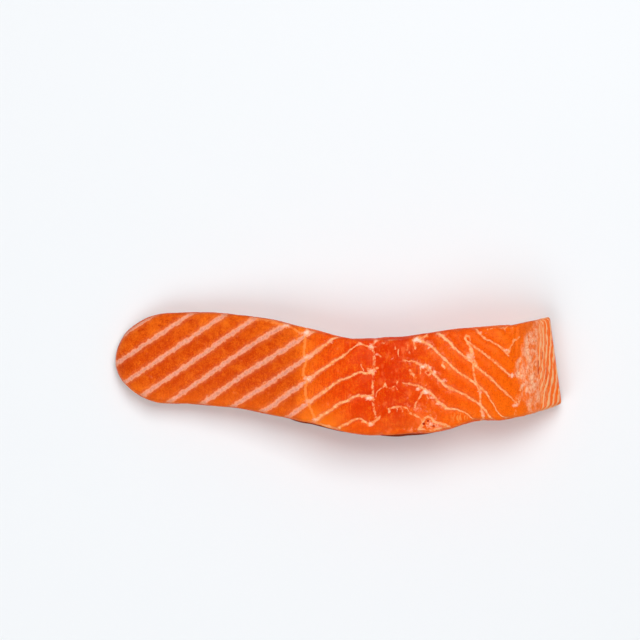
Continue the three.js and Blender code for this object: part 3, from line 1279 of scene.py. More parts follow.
class Signal:
    """A shader socket that can be used in sums, differences, products and quotients."""

    def __init__(self, graph: "Graph", socket: bpy.types.NodeSocket) -> None:
        """Wrap a socket.

        Args:
            graph: the material's nodes.
            socket: an output socket.
        """
        self.graph = graph
        self.socket = socket

    def __add__(self, other: "float | Signal") -> "Signal":
        """Sum."""
        return self.graph.math("ADD", self, other)

    __radd__ = __add__

    def __mul__(self, other: "float | Signal") -> "Signal":
        """Product."""
        return self.graph.math("MULTIPLY", self, other)

    __rmul__ = __mul__

    def __sub__(self, other: "float | Signal") -> "Signal":
        """Difference."""
        return self.graph.math("SUBTRACT", self, other)

    def __rsub__(self, other: float) -> "Signal":
        """Difference from a number."""
        return self.graph.math("SUBTRACT", other, self)

    def __truediv__(self, other: "float | Signal") -> "Signal":
        """Quotient."""
        return self.graph.math("DIVIDE", self, other)

    def __rtruediv__(self, other: float) -> "Signal":
        """Quotient of a number."""
        return self.graph.math("DIVIDE", other, self)

    def __abs__(self) -> "Signal":
        """Size without its sign."""
        return self.graph.math("ABSOLUTE", self)

    def fraction(self) -> "Signal":
        """What is left after the whole number."""
        return self.graph.math("FRACT", self)

    def most(self, other: "float | Signal") -> "Signal":
        """The larger of the two."""
        return self.graph.math("MAXIMUM", self, other)

    def sway(self, size: float) -> "Signal":
        """Turn noise about 0.5 into a swing about 0 of a given size."""
        return size * (self - 0.5)

    def step(self, low: "float | Signal", high: "float | Signal") -> "Signal":
        """Rise smoothly from 0 to 1 between two values, or fall where low is the larger.

        Args:
            low: where it is 0.
            high: where it is 1.

        Returns:
            A share from 0 to 1.
        """
        return self.graph.node(
            "ShaderNodeMapRange",
            {"interpolation_type": "SMOOTHSTEP"},
            {"Value": self, "From Min": low, "From Max": high},
        )

    def within(self, zone: Zone) -> "Signal":
        """Rise from 0 to 1 and fall again.

        Args:
            zone: where it starts, where it is full, up to where it stays full, and where it ends.

        Returns:
            A share from 0 to 1.
        """
        start, full, last, end = zone
        return self.step(start, full) * self.step(end, last)


@dataclass(frozen=True)
class Grain:
    """One kind of noise.

    Attributes:
        pitch: distance between its bumps, in millimetres.
        seed: which noise it is.
        detail: how many finer layers it has.
        roughness: how strong the finer layers are.
        stretch: how much finer it gets along each axis.
    """

    pitch: float
    seed: float
    detail: float = 2.0
    roughness: float = 0.5
    stretch: Triple = (1.0, 1.0, 1.0)


@dataclass(frozen=True)
class Wash:
    """A colour laid over others where a pattern shows.

    Attributes:
        colour: the colour.
        strength: how much of it shows at most.
        start: value of the pattern where it begins to show.
        full: value of the pattern where it shows at its strongest.
    """

    colour: Colour
    strength: float
    start: float
    full: float


class Graph:
    """The nodes of one material or of the surroundings."""

    def __init__(self, owner: bpy.types.Material | bpy.types.World) -> None:
        """Start without nodes.

        Args:
            owner: what the nodes belong to.
        """
        owner.use_nodes = True
        self.owner = owner
        self.tree = owner.node_tree
        self.tree.nodes.clear()
        self.places: dict[Triple, Signal] = {}

    def node(self, kind: str, settings: dict | None = None, sockets: dict | None = None,
             output: int | str = 0) -> Signal | None:
        """Add one node.

        Args:
            kind: its type.
            settings: its own settings by name, and stops for a ramp, which are set first.
            sockets: values or links by the socket's name, identifier or number.
            output: which of its outputs is handed on.

        Returns:
            That output, or nothing for a node without outputs.
        """
        made = self.tree.nodes.new(kind)
        for name, value in (settings or {}).items():
            if name == "stops":
                self.set_stops(made.color_ramp, value)
            else:
                setattr(made, name, value)
        for key, value in (sockets or {}).items():
            self.feed(self.find(made.inputs, key), value)
        return Signal(self, self.find(made.outputs, output)) if made.outputs else None

    def set_stops(self, ramp: bpy.types.ColorRamp, stops: list[tuple[float, Colour]]) -> None:
        """Set the stops of a ramp.

        Args:
            ramp: the ramp.
            stops: pairs of place and colour.
        """
        while len(ramp.elements) < len(stops):
            ramp.elements.new(1.0)
        for element, (place, colour) in zip(ramp.elements, stops):
            element.position = place
            element.color = colour

    def find(self, sockets: bpy.types.bpy_prop_collection, key: int | str) -> bpy.types.NodeSocket:
        """Find a socket by number, identifier or name, in that order.

        Args:
            sockets: the inputs or outputs of a node.
            key: what is looked for.

        Returns:
            The socket.
        """
        if isinstance(key, int):
            return sockets[key]
        named = [socket for socket in sockets if socket.identifier == key]
        return (named or [socket for socket in sockets if socket.name == key and socket.enabled])[0]

    def feed(self, socket: bpy.types.NodeSocket, value: "float | Colour | Signal") -> None:
        """Link a signal to a socket, or set its value.

        Args:
            socket: an input.
            value: what it gets.
        """
        if isinstance(value, Signal):
            self.tree.links.new(value.socket, socket)
        else:
            socket.default_value = value

    def math(self, operation: str, *values: "float | Signal") -> Signal:
        """Work out one step on numbers.

        Args:
            operation: what is done.
            values: the numbers, in order.

        Returns:
            The result.
        """
        return self.node("ShaderNodeMath", {"operation": operation}, dict(enumerate(values)))

    def number(self, name: str) -> Signal:
        """Read a number that the mesh carries at each point."""
        settings = {"attribute_name": name, "attribute_type": "GEOMETRY"}
        return self.node("ShaderNodeAttribute", settings, output="Fac")

    def mix(self, share: float | Signal, first: "Colour | Signal",
            second: "Colour | Signal") -> Signal:
        """Put one colour over another.

        Args:
            share: how much of the second shows.
            first: the colour under it.
            second: the colour over it.

        Returns:
            The new colour.
        """
        return self.node(
            "ShaderNodeMix",
            {"data_type": "RGBA"},
            {"Factor_Float": share, "A_Color": first, "B_Color": second},
            "Result_Color",
        )

    def wash(self, under: "Colour | Signal", pattern: Signal, wash: Wash,
             where: float | Signal = 1.0) -> Signal:
        """Lay a wash over a colour.

        Args:
            under: the colour so far.
            pattern: the pattern that the wash follows.
            wash: its colour and how it shows.
            where: share of its strength at each point.

        Returns:
            The new colour.
        """
        share = wash.strength * pattern.step(wash.start, wash.full)
        return self.mix(share * where, under, wash.colour)

    def place(self, stretch: Triple) -> Signal:
        """Place on the object in millimetres, stretched along the axes.

        Args:
            stretch: how much finer a pattern gets along each axis.

        Returns:
            A vector.
        """
        if stretch not in self.places:
            where = self.node("ShaderNodeTexCoord", output="Object")
            scale = tuple(part / MM for part in stretch)
            settings = {"operation": "MULTIPLY"}
            self.places[stretch] = self.node("ShaderNodeVectorMath", settings, {0: where, 1: scale})
        return self.places[stretch]

    def noise(self, grain: Grain) -> Signal:
        """Read noise about 0.5.

        Args:
            grain: the kind of noise.

        Returns:
            A number at each point.
        """
        return self.node("ShaderNodeTexNoise", {"noise_dimensions": "4D"}, {
            "Vector": self.place(grain.stretch),
            "W": grain.seed,
            "Scale": 1 / grain.pitch,
            "Detail": grain.detail,
            "Roughness": grain.roughness,
        })

    def cells(self, feature: str, size: float, scatter: float, stretch: Triple) -> Signal:
        """Read a pattern of cells.

        Args:
            feature: which distance is read, to the middle of a cell or to its edge.
            size: size of a cell, in millimetres.
            scatter: how irregular they are, from 0 to 1.
            stretch: how much smaller they get along each axis.

        Returns:
            A distance at each point, as a share of the size.
        """
        return self.node("ShaderNodeTexVoronoi", {"feature": feature}, {
            "Vector": self.place(stretch),
            "Scale": 1 / size,
            "Randomness": scatter,
        }, "Distance")

    def bump(self, height: Signal, distance: float, strength: float) -> Signal:
        """Turn a height into a normal.

        Args:
            height: a number at each point.
            distance: millimetres that a height of 1 stands for.
            strength: share of the effect.

        Returns:
            The normal.
        """
        return self.node(
            "ShaderNodeBump",
            None,
            {"Height": height, "Distance": distance * MM, "Strength": strength},
        )

    def surface(self, sockets: dict) -> bpy.types.Material:
        """End the material in one shader.

        Args:
            sockets: values or links of the shader's sockets.

        Returns:
            The material.
        """
        shader = self.node("ShaderNodeBsdfPrincipled", None, sockets)
        self.node("ShaderNodeOutputMaterial", None, {"Surface": shader})
        return self.owner


LIGHT_MUSCLE = srgb(255, 132, 28)
DARK_MUSCLE = srgb(200, 34, 0)
# Darker muscle for painted shade past the sheets and on the far edge, and for the dark grit.
SHADED_MUSCLE = srgb(196, 52, 2)
# Paler muscle for the painted highlights along the rims of the top.
RIM_HIGHLIGHT = srgb(250, 122, 22)
BLOT_FAT = srgb(255, 176, 140)


@dataclass(frozen=True)
class MuscleFinish:
    """Orange muscle: tone along the portion, clouds, grit, fibres, painted shade and highlights.

    Zones are places along the portion, in millimetres. The painted highlights on the rims are read
    across it, from -1 at the near cut to 1 at the far one.
    """

    tones: tuple[tuple[float, Colour], ...] = (
        (-91, srgb(220, 80, 8)),
        (-40, srgb(212, 70, 3)),
        (-18.5, srgb(216, 76, 5)),
        (-14.2, srgb(248, 110, 16)),
        (-6, srgb(242, 86, 6)),
        (8, srgb(230, 58, 0)),
        (24, srgb(222, 48, 0)),
        (38, srgb(236, 78, 3)),
        (50, srgb(245, 90, 2)),
        (71, srgb(248, 103, 4)),
        (78, srgb(240, 110, 30)),
        (88, srgb(238, 112, 36)),
    )
    span: Range = (-92.0, 89.0)
    dark_belly: Colour = srgb(176, 40, 0)
    belly_zone: Range = (-8.0, -18.0)
    warp: Grain = Grain(6.0, 1.0)
    warp_size: float = 3.0
    mottle: tuple[tuple[float, Grain], ...] = (
        (0.4, Grain(5.0, 2.0, 3.0)),
        (0.35, Grain(1.9, 15.0, 3.0, 0.6)),
        (0.25, Grain(0.6, 4.0, 2.0, 0.65)),
    )
    mottle_strength: float = 0.42
    mottle_lost: float = 0.16
    mottle_lost_zone: Range = (44.0, 58.0)
    mottle_gained: float = 0.1
    light_mottle: Wash = Wash(LIGHT_MUSCLE, 1.0, 0.48, 0.64)
    dark_mottle: Range = (0.52, 0.36)
    grit: Grain = Grain(0.45, 24.0, 2.0, 0.7)
    dark_grit: Wash = Wash(SHADED_MUSCLE, 0.5, 0.5, 0.36)
    light_grit: Wash = Wash(LIGHT_MUSCLE, 1.0, 0.52, 0.66)
    grit_strength: float = 0.08
    grit_gained: float = 0.24
    fibres: Grain = Grain(0.5, 3.0, stretch=(1.0, 0.14, 0.35))
    dark_fibres: Wash = Wash(DARK_MUSCLE, 0.34, 0.54, 0.68)
    light_fibres: Wash = Wash(LIGHT_MUSCLE, 0.26, 0.46, 0.34)
    fibre_least: float = 0.5
    fibre_zone: Zone = (-16.0, -11.0, 4.0, 12.0)
    squiggles: Grain = Grain(2.6, 19.0, 3.0, stretch=(1.0, 0.7, 0.7))
    fatty_squiggles: Wash = Wash(srgb(255, 122, 62), 0.4, 0.53, 0.66)
    squiggle_zone: Zone = (13.0, 19.0, 38.0, 46.0)
    # Painted shade on each flake, darkest just past its sheet, and where along the portion it
    # shows.
    painted_sheet_shade: Wash = Wash(SHADED_MUSCLE, 0.3, 0.75, 0.1)
    painted_sheet_shade_zone: Range = (10.0, -16.0)
    # Painted highlights along the rims: by the near cut, most over the ribs, and by the far cut
    # over the belly.
    rim_depth: Range = (0.9, 0.0)
    near_rim: Range = (-0.35, -1.0)
    near_rim_least: float = 0.25
    near_rim_gained: float = 0.55
    near_rim_zone: Zone = (-18.0, -10.0, -4.0, 6.0)
    far_rim: Range = (0.2, 0.8)
    far_rim_strength: float = 0.36
    far_rim_zone: Range = (-6.0, -16.0)
    far_rim_mottle: Range = (0.38, 0.56)

    def tone(self, graph: Graph, along: Signal) -> Signal:
        """Slow change of tone along the portion.

        Args:
            graph: the material's nodes.
            along: place along the portion.

        Returns:
            A colour.
        """
        low, high = self.span
        stops = [((x - low) / (high - low), colour) for x, colour in self.tones]
        warped = along + graph.noise(self.warp).sway(self.warp_size)
        share = (warped - low) / (high - low)
        return graph.node("ShaderNodeValToRGB", {"stops": stops}, {"Fac": share}, "Color")

    def rim_highlights(self, graph: Graph, along: Signal, mottle: Signal) -> Signal:
        """Where painted highlights make the muscle paler along the edges of the top.

        Args:
            graph: the material's nodes.
            along: place along the portion.
            mottle: the cloudy pattern.

        Returns:
            A share from 0 to 1.
        """
        across = graph.number("across")
        gained = self.near_rim_least + self.near_rim_gained * along.within(self.near_rim_zone)
        near = across.step(*self.near_rim) * gained
        far = self.far_rim_strength * across.step(*self.far_rim) * along.step(*self.far_rim_zone)
        far = far * mottle.step(*self.far_rim_mottle)
        return near.most(far) * graph.number("depth").step(*self.rim_depth)

    def colour(self, graph: Graph, along: Signal) -> Signal:
        """Put the layers of the muscle together.

        Args:
            graph: the material's nodes.
            along: place along the portion.

        Returns:
            A colour.
        """
        clouds, patches, specks = (share * graph.noise(grain) for share, grain in self.mottle)
        mottle = clouds + patches + specks
        belly = along.step(*self.belly_zone)
        uneven = self.mottle_strength - self.mottle_lost * along.step(*self.mottle_lost_zone)
        uneven = uneven + self.mottle_gained * belly
        dark = graph.mix(belly, DARK_MUSCLE, self.dark_belly)
        colour = graph.wash(self.tone(graph, along), mottle, self.light_mottle, uneven)
        colour = graph.mix(uneven * mottle.step(*self.dark_mottle), colour, dark)
        grit = graph.noise(self.grit)
        colour = graph.wash(colour, grit, self.dark_grit)
        gritty = self.grit_strength + self.grit_gained * belly
        colour = graph.wash(colour, grit, self.light_grit, gritty)
        fibres = graph.noise(self.fibres)
        fibrous = self.fibre_least + (1 - self.fibre_least) * along.within(self.fibre_zone)
        colour = graph.wash(colour, fibres, self.dark_fibres, fibrous)
        colour = graph.wash(colour, fibres, self.light_fibres, fibrous)
        squiggles = graph.noise(self.squiggles)
        middle = along.within(self.squiggle_zone)
        colour = graph.wash(colour, squiggles, self.fatty_squiggles, middle)
        # Painted shade: each flake is darker just past its sheet.
        past_sheet = graph.number("sheet").fraction()
        shaded = along.step(*self.painted_sheet_shade_zone)
        colour = graph.wash(colour, past_sheet, self.painted_sheet_shade, shaded)
        # Painted highlights along the rims of the top.
        return graph.mix(self.rim_highlights(graph, along, mottle), colour, RIM_HIGHLIGHT)


@dataclass(frozen=True)
class SeamFinish:
    """The sheets' pale lines: how they wobble, break and soften.

    The core is measured in half widths of the frayed line, the halo in those of the plain one, and
    the painted shade along both sides of the line in millimetres.
    """

    slow: Grain = Grain(2.6, 5.0, 3.0)
    slow_size: float = 1.6
    fine: Grain = Grain(0.9, 23.0, roughness=0.6)
    fine_size: float = 1.1
    fray: Grain = Grain(1.5, 6.0, roughness=0.6)
    fray_least: float = 0.4
    fray_gained: float = 1.2
    breaks: Grain = Grain(1.7, 7.0)
    breaks_size: float = 0.9
    fine_breaks_size: float = 0.5
    breaks_shift: float = 0.45
    breaks_range: Range = (0.2, 0.75)
    core: Range = (1.25, 0.5)
    halo: Range = (2.6, 0.8)
    # Painted shade along both sides of each line: how far out it lies, its gap and its falloff.
    line_shade_out: float = 1.1
    line_shade_gap: float = 0.3
    outline: Range = (0.4, 0.1)

    def strengths(self, graph: Graph) -> tuple[Signal, Signal, Signal, Signal]:
        """Work out the lines.

        Args:
            graph: the material's nodes.

        Returns:
            Strength of the line's core, of its soft surroundings and of the painted shade along
            both its sides, and how far out in the line a point lies.
        """
        half = graph.number("seam_half")
        gap = graph.number("gap")
        fine = graph.noise(self.fine) - 0.5
        wobble = graph.noise(self.slow).sway(self.slow_size) + self.fine_size * fine
        sheet = graph.number("sheet") + wobble / gap
        away = abs((sheet + 0.5).fraction() - 0.5) * gap
        edge = half * (self.fray_least + self.fray_gained * graph.noise(self.fray))
        show = graph.number("seam_show") + self.breaks_size * graph.noise(self.breaks)
        show = show + self.fine_breaks_size * fine - self.breaks_shift
        solid = show.step(*self.breaks_range)
        core = away.step(*(edge * share for share in self.core)) * solid
        halo = away.step(*(half * share for share in self.halo)) * solid
        # Painted shade: a darker band along both sides of each line.
        beside = abs(away - edge * self.line_shade_out - self.line_shade_gap)
        return core, halo, beside.step(*self.outline) * solid, away / edge


@dataclass(frozen=True)
class BackFinish:
    """The marbled area and the striped band at the back end."""

    marble_fat: Colour = srgb(255, 192, 152)
    marble_muscle: Colour = srgb(250, 118, 44)
    streaks: Grain = Grain(1.5, 10.0, 3.0, 0.6, (1.0, 0.55, 0.55))
    streak_range: Range = (0.36, 0.66)
    flecks: Grain = Grain(0.9, 21.0, 1.0, stretch=(1.6, 0.8, 0.8))
    fleck: Wash = Wash(srgb(206, 92, 34), 0.55, 0.6, 0.69)
    net_size: float = 1.3
    net_scatter: float = 1.0
    net_stretch: Triple = (1.0, 0.7, 0.7)
    net_fray: float = 0.3
    net: Wash = Wash(srgb(228, 96, 34), 0.42, 0.16, 0.04)
    scallops: Grain = Grain(3.2, 18.0, 3.0, 0.6)
    scallop_size: float = 1.6
    marble_range: Range = (0.15, 0.85)
    stripe_fat: Colour = srgb(255, 184, 128)
    stripe_muscle: Colour = srgb(254, 106, 16)
    wander: Grain = Grain(2.6, 11.0, 3.0, stretch=(0.8, 0.45, 0.8))
    wander_size: float = 0.9
    thinning: Grain = Grain(1.3, 14.0, 3.0, 0.6, (1.0, 0.4, 1.3))
    thinning_size: float = 0.8
    narrower: float = 0.06
    narrower_depth: Range = (0.0, 2.0)
    stripe_range: Range = (0.27, 0.1)
    between_size: float = 0.9
    between_strength: float = 0.6
    between_range: Range = (0.2, 0.04)
    between_zone: Range = (86.0, 82.0)

    def marbled(self, graph: Graph, rough: Signal) -> Signal:
        """Colour of the marbled area: streaks, dark flecks and a fine net.

        Args:
            graph: the material's nodes.
            rough: fine noise.

        Returns:
            A colour.
        """
        streaks = graph.noise(self.streaks).step(*self.streak_range)
        colour = graph.mix(streaks, self.marble_muscle, self.marble_fat)
        colour = graph.wash(colour, graph.noise(self.flecks), self.fleck)
        cells = graph.cells("DISTANCE_TO_EDGE", self.net_size, self.net_scatter, self.net_stretch)
        return graph.wash(colour, cells + rough.sway(self.net_fray), self.net)

    def striped(self, graph: Graph, along: Signal) -> Signal:
        """Colour of the band: wandering stripes with finer ones between them.

        Args:
            graph: the material's nodes.
            along: place along the portion.

        Returns:
            A colour.
        """
        stripe = graph.number("stripe") + graph.noise(self.wander).sway(self.wander_size)
        wave = abs((stripe + 0.5).fraction() - 0.5)
        thin = graph.noise(self.thinning) - 0.5
        narrow = self.narrower * graph.number("depth").step(*self.narrower_depth)
        stripes = (wave + self.thinning_size * thin + narrow).step(*self.stripe_range)
        between = (0.5 - wave + self.between_size * thin).step(*self.between_range)
        between = self.between_strength * between * along.step(*self.between_zone)
        return graph.mix(stripes.most(between), self.stripe_muscle, self.stripe_fat)

    def over(self, graph: Graph, colour: Signal, rough: Signal, along: Signal) -> Signal:
        """Lay both over the rest of the flesh.

        Args:
            graph: the material's nodes.
            colour: colour of the flesh so far.
            rough: fine noise.
            along: place along the portion.

        Returns:
            The new colour.
        """
        marble = graph.number("marble") + graph.noise(self.scallops).sway(self.scallop_size)
        marbled = self.marbled(graph, rough)
        colour = graph.mix(marble.step(*self.marble_range), colour, marbled)
        return graph.mix(graph.number("band"), colour, self.striped(graph, along))


@dataclass(frozen=True)
class FleshFinish:
    """Moist raw salmon: muscle, and pale fat in lines, blots and specks.

    Zones are places along the portion, in millimetres.
    """

    muscle: MuscleFinish = MuscleFinish()
    seam: SeamFinish = SeamFinish()
    back: BackFinish = BackFinish()
    rough: Grain = Grain(0.8, 8.0, 3.0, 0.6)
    varied: Grain = Grain(1.5, 16.0, 3.0, 0.6)
    veiny: Grain = Grain(1.5, 9.0, 3.0, 0.6)
    # Painted shade along both sides of the pale lines, and its strength.
    outline: Colour = srgb(205, 60, 8)
    line_shade_strength: float = 0.32
    halo_strength: float = 0.2
    halo_lost: float = 0.6
    core_strength: float = 0.92
    belly_fat_zone: Range = (-4.0, -15.0)
    belly_fat_dark: Colour = srgb(220, 142, 116)
    belly_fat_grain: Grain = Grain(0.9, 17.0, roughness=0.6)
    belly_fat: Wash = Wash(srgb(244, 172, 148), 1.0, 0.3, 0.7)
    belly_fat_edge: Wash = Wash(srgb(252, 166, 120), 1.0, 0.35, 0.85)
    line_fat_deep: Colour = srgb(252, 140, 70)
    line_fat: Wash = Wash(srgb(255, 192, 138), 1.0, 0.4, 0.6)
    line_varied: float = 0.55
    line_rough: float = 0.45
    fuzz: Wash = Wash(BLOT_FAT, 0.4, 0.52, 0.64)
    fuzz_reach: Range = (7.0, 1.0)
    fuzz_zone: Zone = (23.0, 30.0, 42.0, 50.0)
    rib_fat: Colour = srgb(255, 142, 66)
    rib_zone: Range = (-6.0, -8.0)
    vein_strength: float = 0.85
    vein_wander: float = 2.6
    vein_fray: float = 2.2
    vein_range: Range = (1.5, 0.4)
    vein_breaks: float = 2.2
    vein_breaks_range: Range = (0.2, 0.8)
    blot_strength: float = 0.8
    blot_fray: float = 1.3
    blot_range: Range = (0.4, 0.8)
    blot_reach: Range = (0.08, 0.35)
    white_fat: Wash = Wash(srgb(255, 224, 206), 0.75, 0.75, 1.2)
    hatching: Grain = Grain(0.8, 22.0, 1.0, stretch=(1.3, 0.4, 0.4))
    hatch: Wash = Wash(srgb(255, 184, 96), 0.4, 0.48, 0.6)
    # Painted shade in the slits, and in the pits and the notch.
    slit: Wash = Wash(srgb(196, 44, 10), 0.8, 1.5, 0.3)
    pit: Wash = Wash(srgb(172, 24, 2), 1.0, 0.3, 0.7)
    pit_fray: float = 0.4
    upper_depth: Range = (0.8, 0.0)
    # Painted shade on the far edge of the top, and a painted highlight on its near edge.
    far_edge: Wash = Wash(SHADED_MUSCLE, 0.22, 0.94, 1.0)
    near_edge: Wash = Wash(RIM_HIGHLIGHT, 0.25, -0.94, -1.0)
    skin_grain: Grain = Grain(2.4, 13.0)
    skin_grain_size: float = 1.6
    brown_muscle: Colour = srgb(168, 84, 48)
    brown_strength: float = 0.7
    brown_least: float = 1.6
    brown_gained: float = 2.4
    brown_middle: float = 14.0
    brown_zone: Range = (46.0, 0.0)
    brown_range: Range = (1.5, 0.6)
    skin_fat: Wash = Wash(srgb(226, 176, 138), 0.75, 1.8, 1.0)
    fine: Grain = Grain(0.35, 12.0)
    core_relief: float = 0.3
    vein_relief: float = 0.3
    blot_relief: float = 0.3
    rough_relief: float = 0.5
    fine_relief: float = 0.25
    bump_depth: float = 0.14
    bump_strength: float = 0.8
    roughness: float = 0.34
    fat_roughness: float = 0.12
    grain_roughness: float = 0.14
    rim_roughness: float = 0.35
    rim_range: Range = (0.9, 0.99)
    specular: float = 0.28
    gloss: Colour = (1.0, 0.42, 0.16, 1.0)
    glow: float = 0.25
    glow_radius: Triple = (1.0, 0.35, 0.12)
    glow_depth: float = 0.55

    def thin_lines(self, graph: Graph, varied: Signal, veiny: Signal, rough: Signal) -> Signal:
        """Strength of the thin lines that aren't sheets.

        Args:
            graph: the material's nodes.
            varied: medium noise that breaks them up.
            veiny: medium noise that bends them.
            rough: fine noise that frays them.

        Returns:
            A share from 0 to 1.
        """
        vein = graph.number("vein") + veiny.sway(self.vein_wander) + rough.sway(self.vein_fray)
        show = graph.number("vein_show") + varied.sway(self.vein_breaks)
        return vein.step(*self.vein_range) * show.step(*self.vein_breaks_range)

    def small_marks(self, graph: Graph, colour: Signal, rough: Signal) -> Signal:
        """Add the hatched patch, painted shade in the slits and pits and on the far rim of the top,
        and a painted highlight on its near rim.

        Args:
            graph: the material's nodes.
            colour: colour of the flesh so far.
            rough: fine noise.

        Returns:
            The new colour.
        """
        hatching = graph.noise(self.hatching)
        colour = graph.wash(colour, hatching, self.hatch, graph.number("hatched"))
        # Painted shade in the slits.
        colour = graph.wash(colour, graph.number("slit"), self.slit, graph.number("slit_show"))
        # Painted shade in the pits and the notch.
        pits = graph.number("pit").most(graph.number("notch")) + rough.sway(self.pit_fray)
        colour = graph.wash(colour, pits, self.pit)
        across = graph.number("across")
        upper = graph.number("depth").step(*self.upper_depth)
        # Painted shade on the far edge of the top, and a painted highlight on its near edge.
        colour = graph.wash(colour, across, self.far_edge, upper)
        return graph.wash(colour, across, self.near_edge, upper)

    def by_the_skin(self, graph: Graph, colour: Signal, along: Signal) -> Signal:
        """Add the pale fat on the skin and the brown muscle that thickens under the mid line.

        Args:
            graph: the material's nodes.
            colour: colour of the flesh so far.
            along: place along the portion.

        Returns:
            The new colour.
        """
        height = graph.number("height")
        ragged = graph.noise(self.skin_grain).sway(self.skin_grain_size)
        wedge = abs(along - self.brown_middle).step(*self.brown_zone)
        wedge = self.brown_least + self.brown_gained * wedge
        brown = (height + ragged).step(*(wedge * share for share in self.brown_range))
        colour = graph.mix(self.brown_strength * brown, colour, self.brown_muscle)
        return graph.wash(colour, height + 0.5 * ragged, self.skin_fat)

    def material(self) -> bpy.types.Material:
        """Build the finish.

        Returns:
            The material.
        """
        graph = Graph(bpy.data.materials.new("raw_salmon_flesh"))
        along = graph.number("along")
        rough = graph.noise(self.rough)
        varied = graph.noise(self.varied)
        veiny = graph.noise(self.veiny)
        core, halo, shadow, outwards = self.seam.strengths(graph)
        belly = along.step(*self.belly_fat_zone)

        colour = self.muscle.colour(graph, along)
        # Painted shade along both sides of the sheets' lines.
        colour = graph.mix(self.line_shade_strength * shadow, colour, self.outline)
        soft = self.halo_strength * halo * (1.0 - self.halo_lost * belly)
        colour = graph.mix(soft, colour, self.line_fat.colour)

        fat = graph.wash(self.belly_fat_dark, graph.noise(self.belly_fat_grain), self.belly_fat)
        fat = graph.wash(fat, outwards, self.belly_fat_edge)
        grainy = self.line_varied * varied + self.line_rough * rough
        line = graph.wash(self.line_fat_deep, grainy, self.line_fat)
        colour = graph.mix(self.core_strength * core, colour, graph.mix(belly, line, fat))

        fuzzy = outwards.step(*self.fuzz_reach) * along.within(self.fuzz_zone)
        colour = graph.wash(colour, veiny, self.fuzz, fuzzy)
        veins = self.thin_lines(graph, varied, veiny, rough)
        thin = graph.mix(along.step(*self.rib_zone), line, self.rib_fat)
        colour = graph.mix(self.vein_strength * veins, colour, thin)

        blot = graph.number("blot")
        ragged = blot + veiny.sway(self.blot_fray) + rough.sway(self.blot_fray)
        patchy = ragged.step(*self.blot_range) * blot.step(*self.blot_reach)
        colour = graph.mix(self.blot_strength * patchy, colour, BLOT_FAT)
        colour = graph.wash(colour, ragged, self.white_fat)

        colour = self.back.over(graph, colour, rough, along)
        colour = self.small_marks(graph, colour, rough)
        colour = self.by_the_skin(graph, colour, along)

        height = self.core_relief * core + self.vein_relief * veins + self.blot_relief * patchy
        height = height + self.rough_relief * rough + self.fine_relief * graph.noise(self.fine)
        rim = abs(graph.number("across")).step(*self.rim_range)
        dull = self.roughness + self.fat_roughness * core.most(patchy)
        dull = dull + rough.sway(self.grain_roughness) + self.rim_roughness * rim
        return graph.surface({
            "Base Color": colour,
            "Roughness": dull,
            "Normal": graph.bump(height, self.bump_depth, self.bump_strength),
            "Specular IOR Level": self.specular,
            "Specular Tint": self.gloss,
            "Subsurface Weight": self.glow,
            "Subsurface Radius": self.glow_radius,
            "Subsurface Scale": self.glow_depth * MM,
        })


@dataclass(frozen=True)
class SkinFinish:
    """Silver skin with fine scales, darker towards the back of the fish and at its cut edge."""

    silver: Colour = srgb(186, 184, 178)
    slate: Wash = Wash(srgb(74, 82, 88), 1.0, 0.2, 0.9)
    scale_rims: Wash = Wash(srgb(74, 82, 88), 0.35, 0.25, 0.6)
    edge: Wash = Wash(srgb(142, 56, 22), 1.0, 0.05, 0.3)
    scale_size: float = 3.2
    scale_scatter: float = 0.35
    stretch: Triple = (1.0, 1.35, 1.0)
    blotches: Grain = Grain(9.0, 20.0, stretch=(1.0, 1.35, 1.0))
    blotch_size: float = 0.3
    roughness: float = 0.28
    scale_roughness: float = 0.25
    edge_roughness: float = 0.4
    sheen: float = 0.35
    scale_depth: float = 0.12
    scale_strength: float = 0.6
    specular: float = 0.2

    def material(self) -> bpy.types.Material:
        """Build the finish.

        Returns:
            The material.
        """
        graph = Graph(bpy.data.materials.new("salmon_skin_silver"))
        height = graph.number("height")
        scales = graph.cells("F1", self.scale_size, self.scale_scatter, self.stretch)
        back = graph.number("back_share") + graph.noise(self.blotches).sway(self.blotch_size)
        colour = graph.wash(self.silver, back, self.slate)
        colour = graph.wash(colour, scales, self.scale_rims)
        cut_edge = height.step(self.edge.start, self.edge.full)
        dull = self.roughness + self.scale_roughness * scales + self.edge_roughness * cut_edge
        return graph.surface({
            "Base Color": graph.wash(colour, height, self.edge),
            "Roughness": dull,
            "Normal": graph.bump(1.0 - scales, self.scale_depth, self.scale_strength),
            "Metallic": self.sheen - self.sheen * cut_edge,
            "Specular IOR Level": self.specular,
        })


@dataclass(frozen=True)
class Lamp:
    """A soft square light that faces the portion.

    Attributes:
        name: its name.
        place: where it hangs, in metres.
        size: its side, in metres.
        power: its power, in watts.
    """

    name: str
    place: Triple
    size: float
    power: float

    def build(self) -> None:
        """Hang the light."""
        data = bpy.data.lights.new(self.name, "AREA")
        data.size = self.size
        data.energy = self.power
        light = bpy.data.objects.new(self.name, data)
        light.location = self.place
        light.rotation_mode = "QUATERNION"
        light.rotation_quaternion = (-Vector(self.place)).to_track_quat("-Z", "Y")
        bpy.context.scene.collection.objects.link(light)


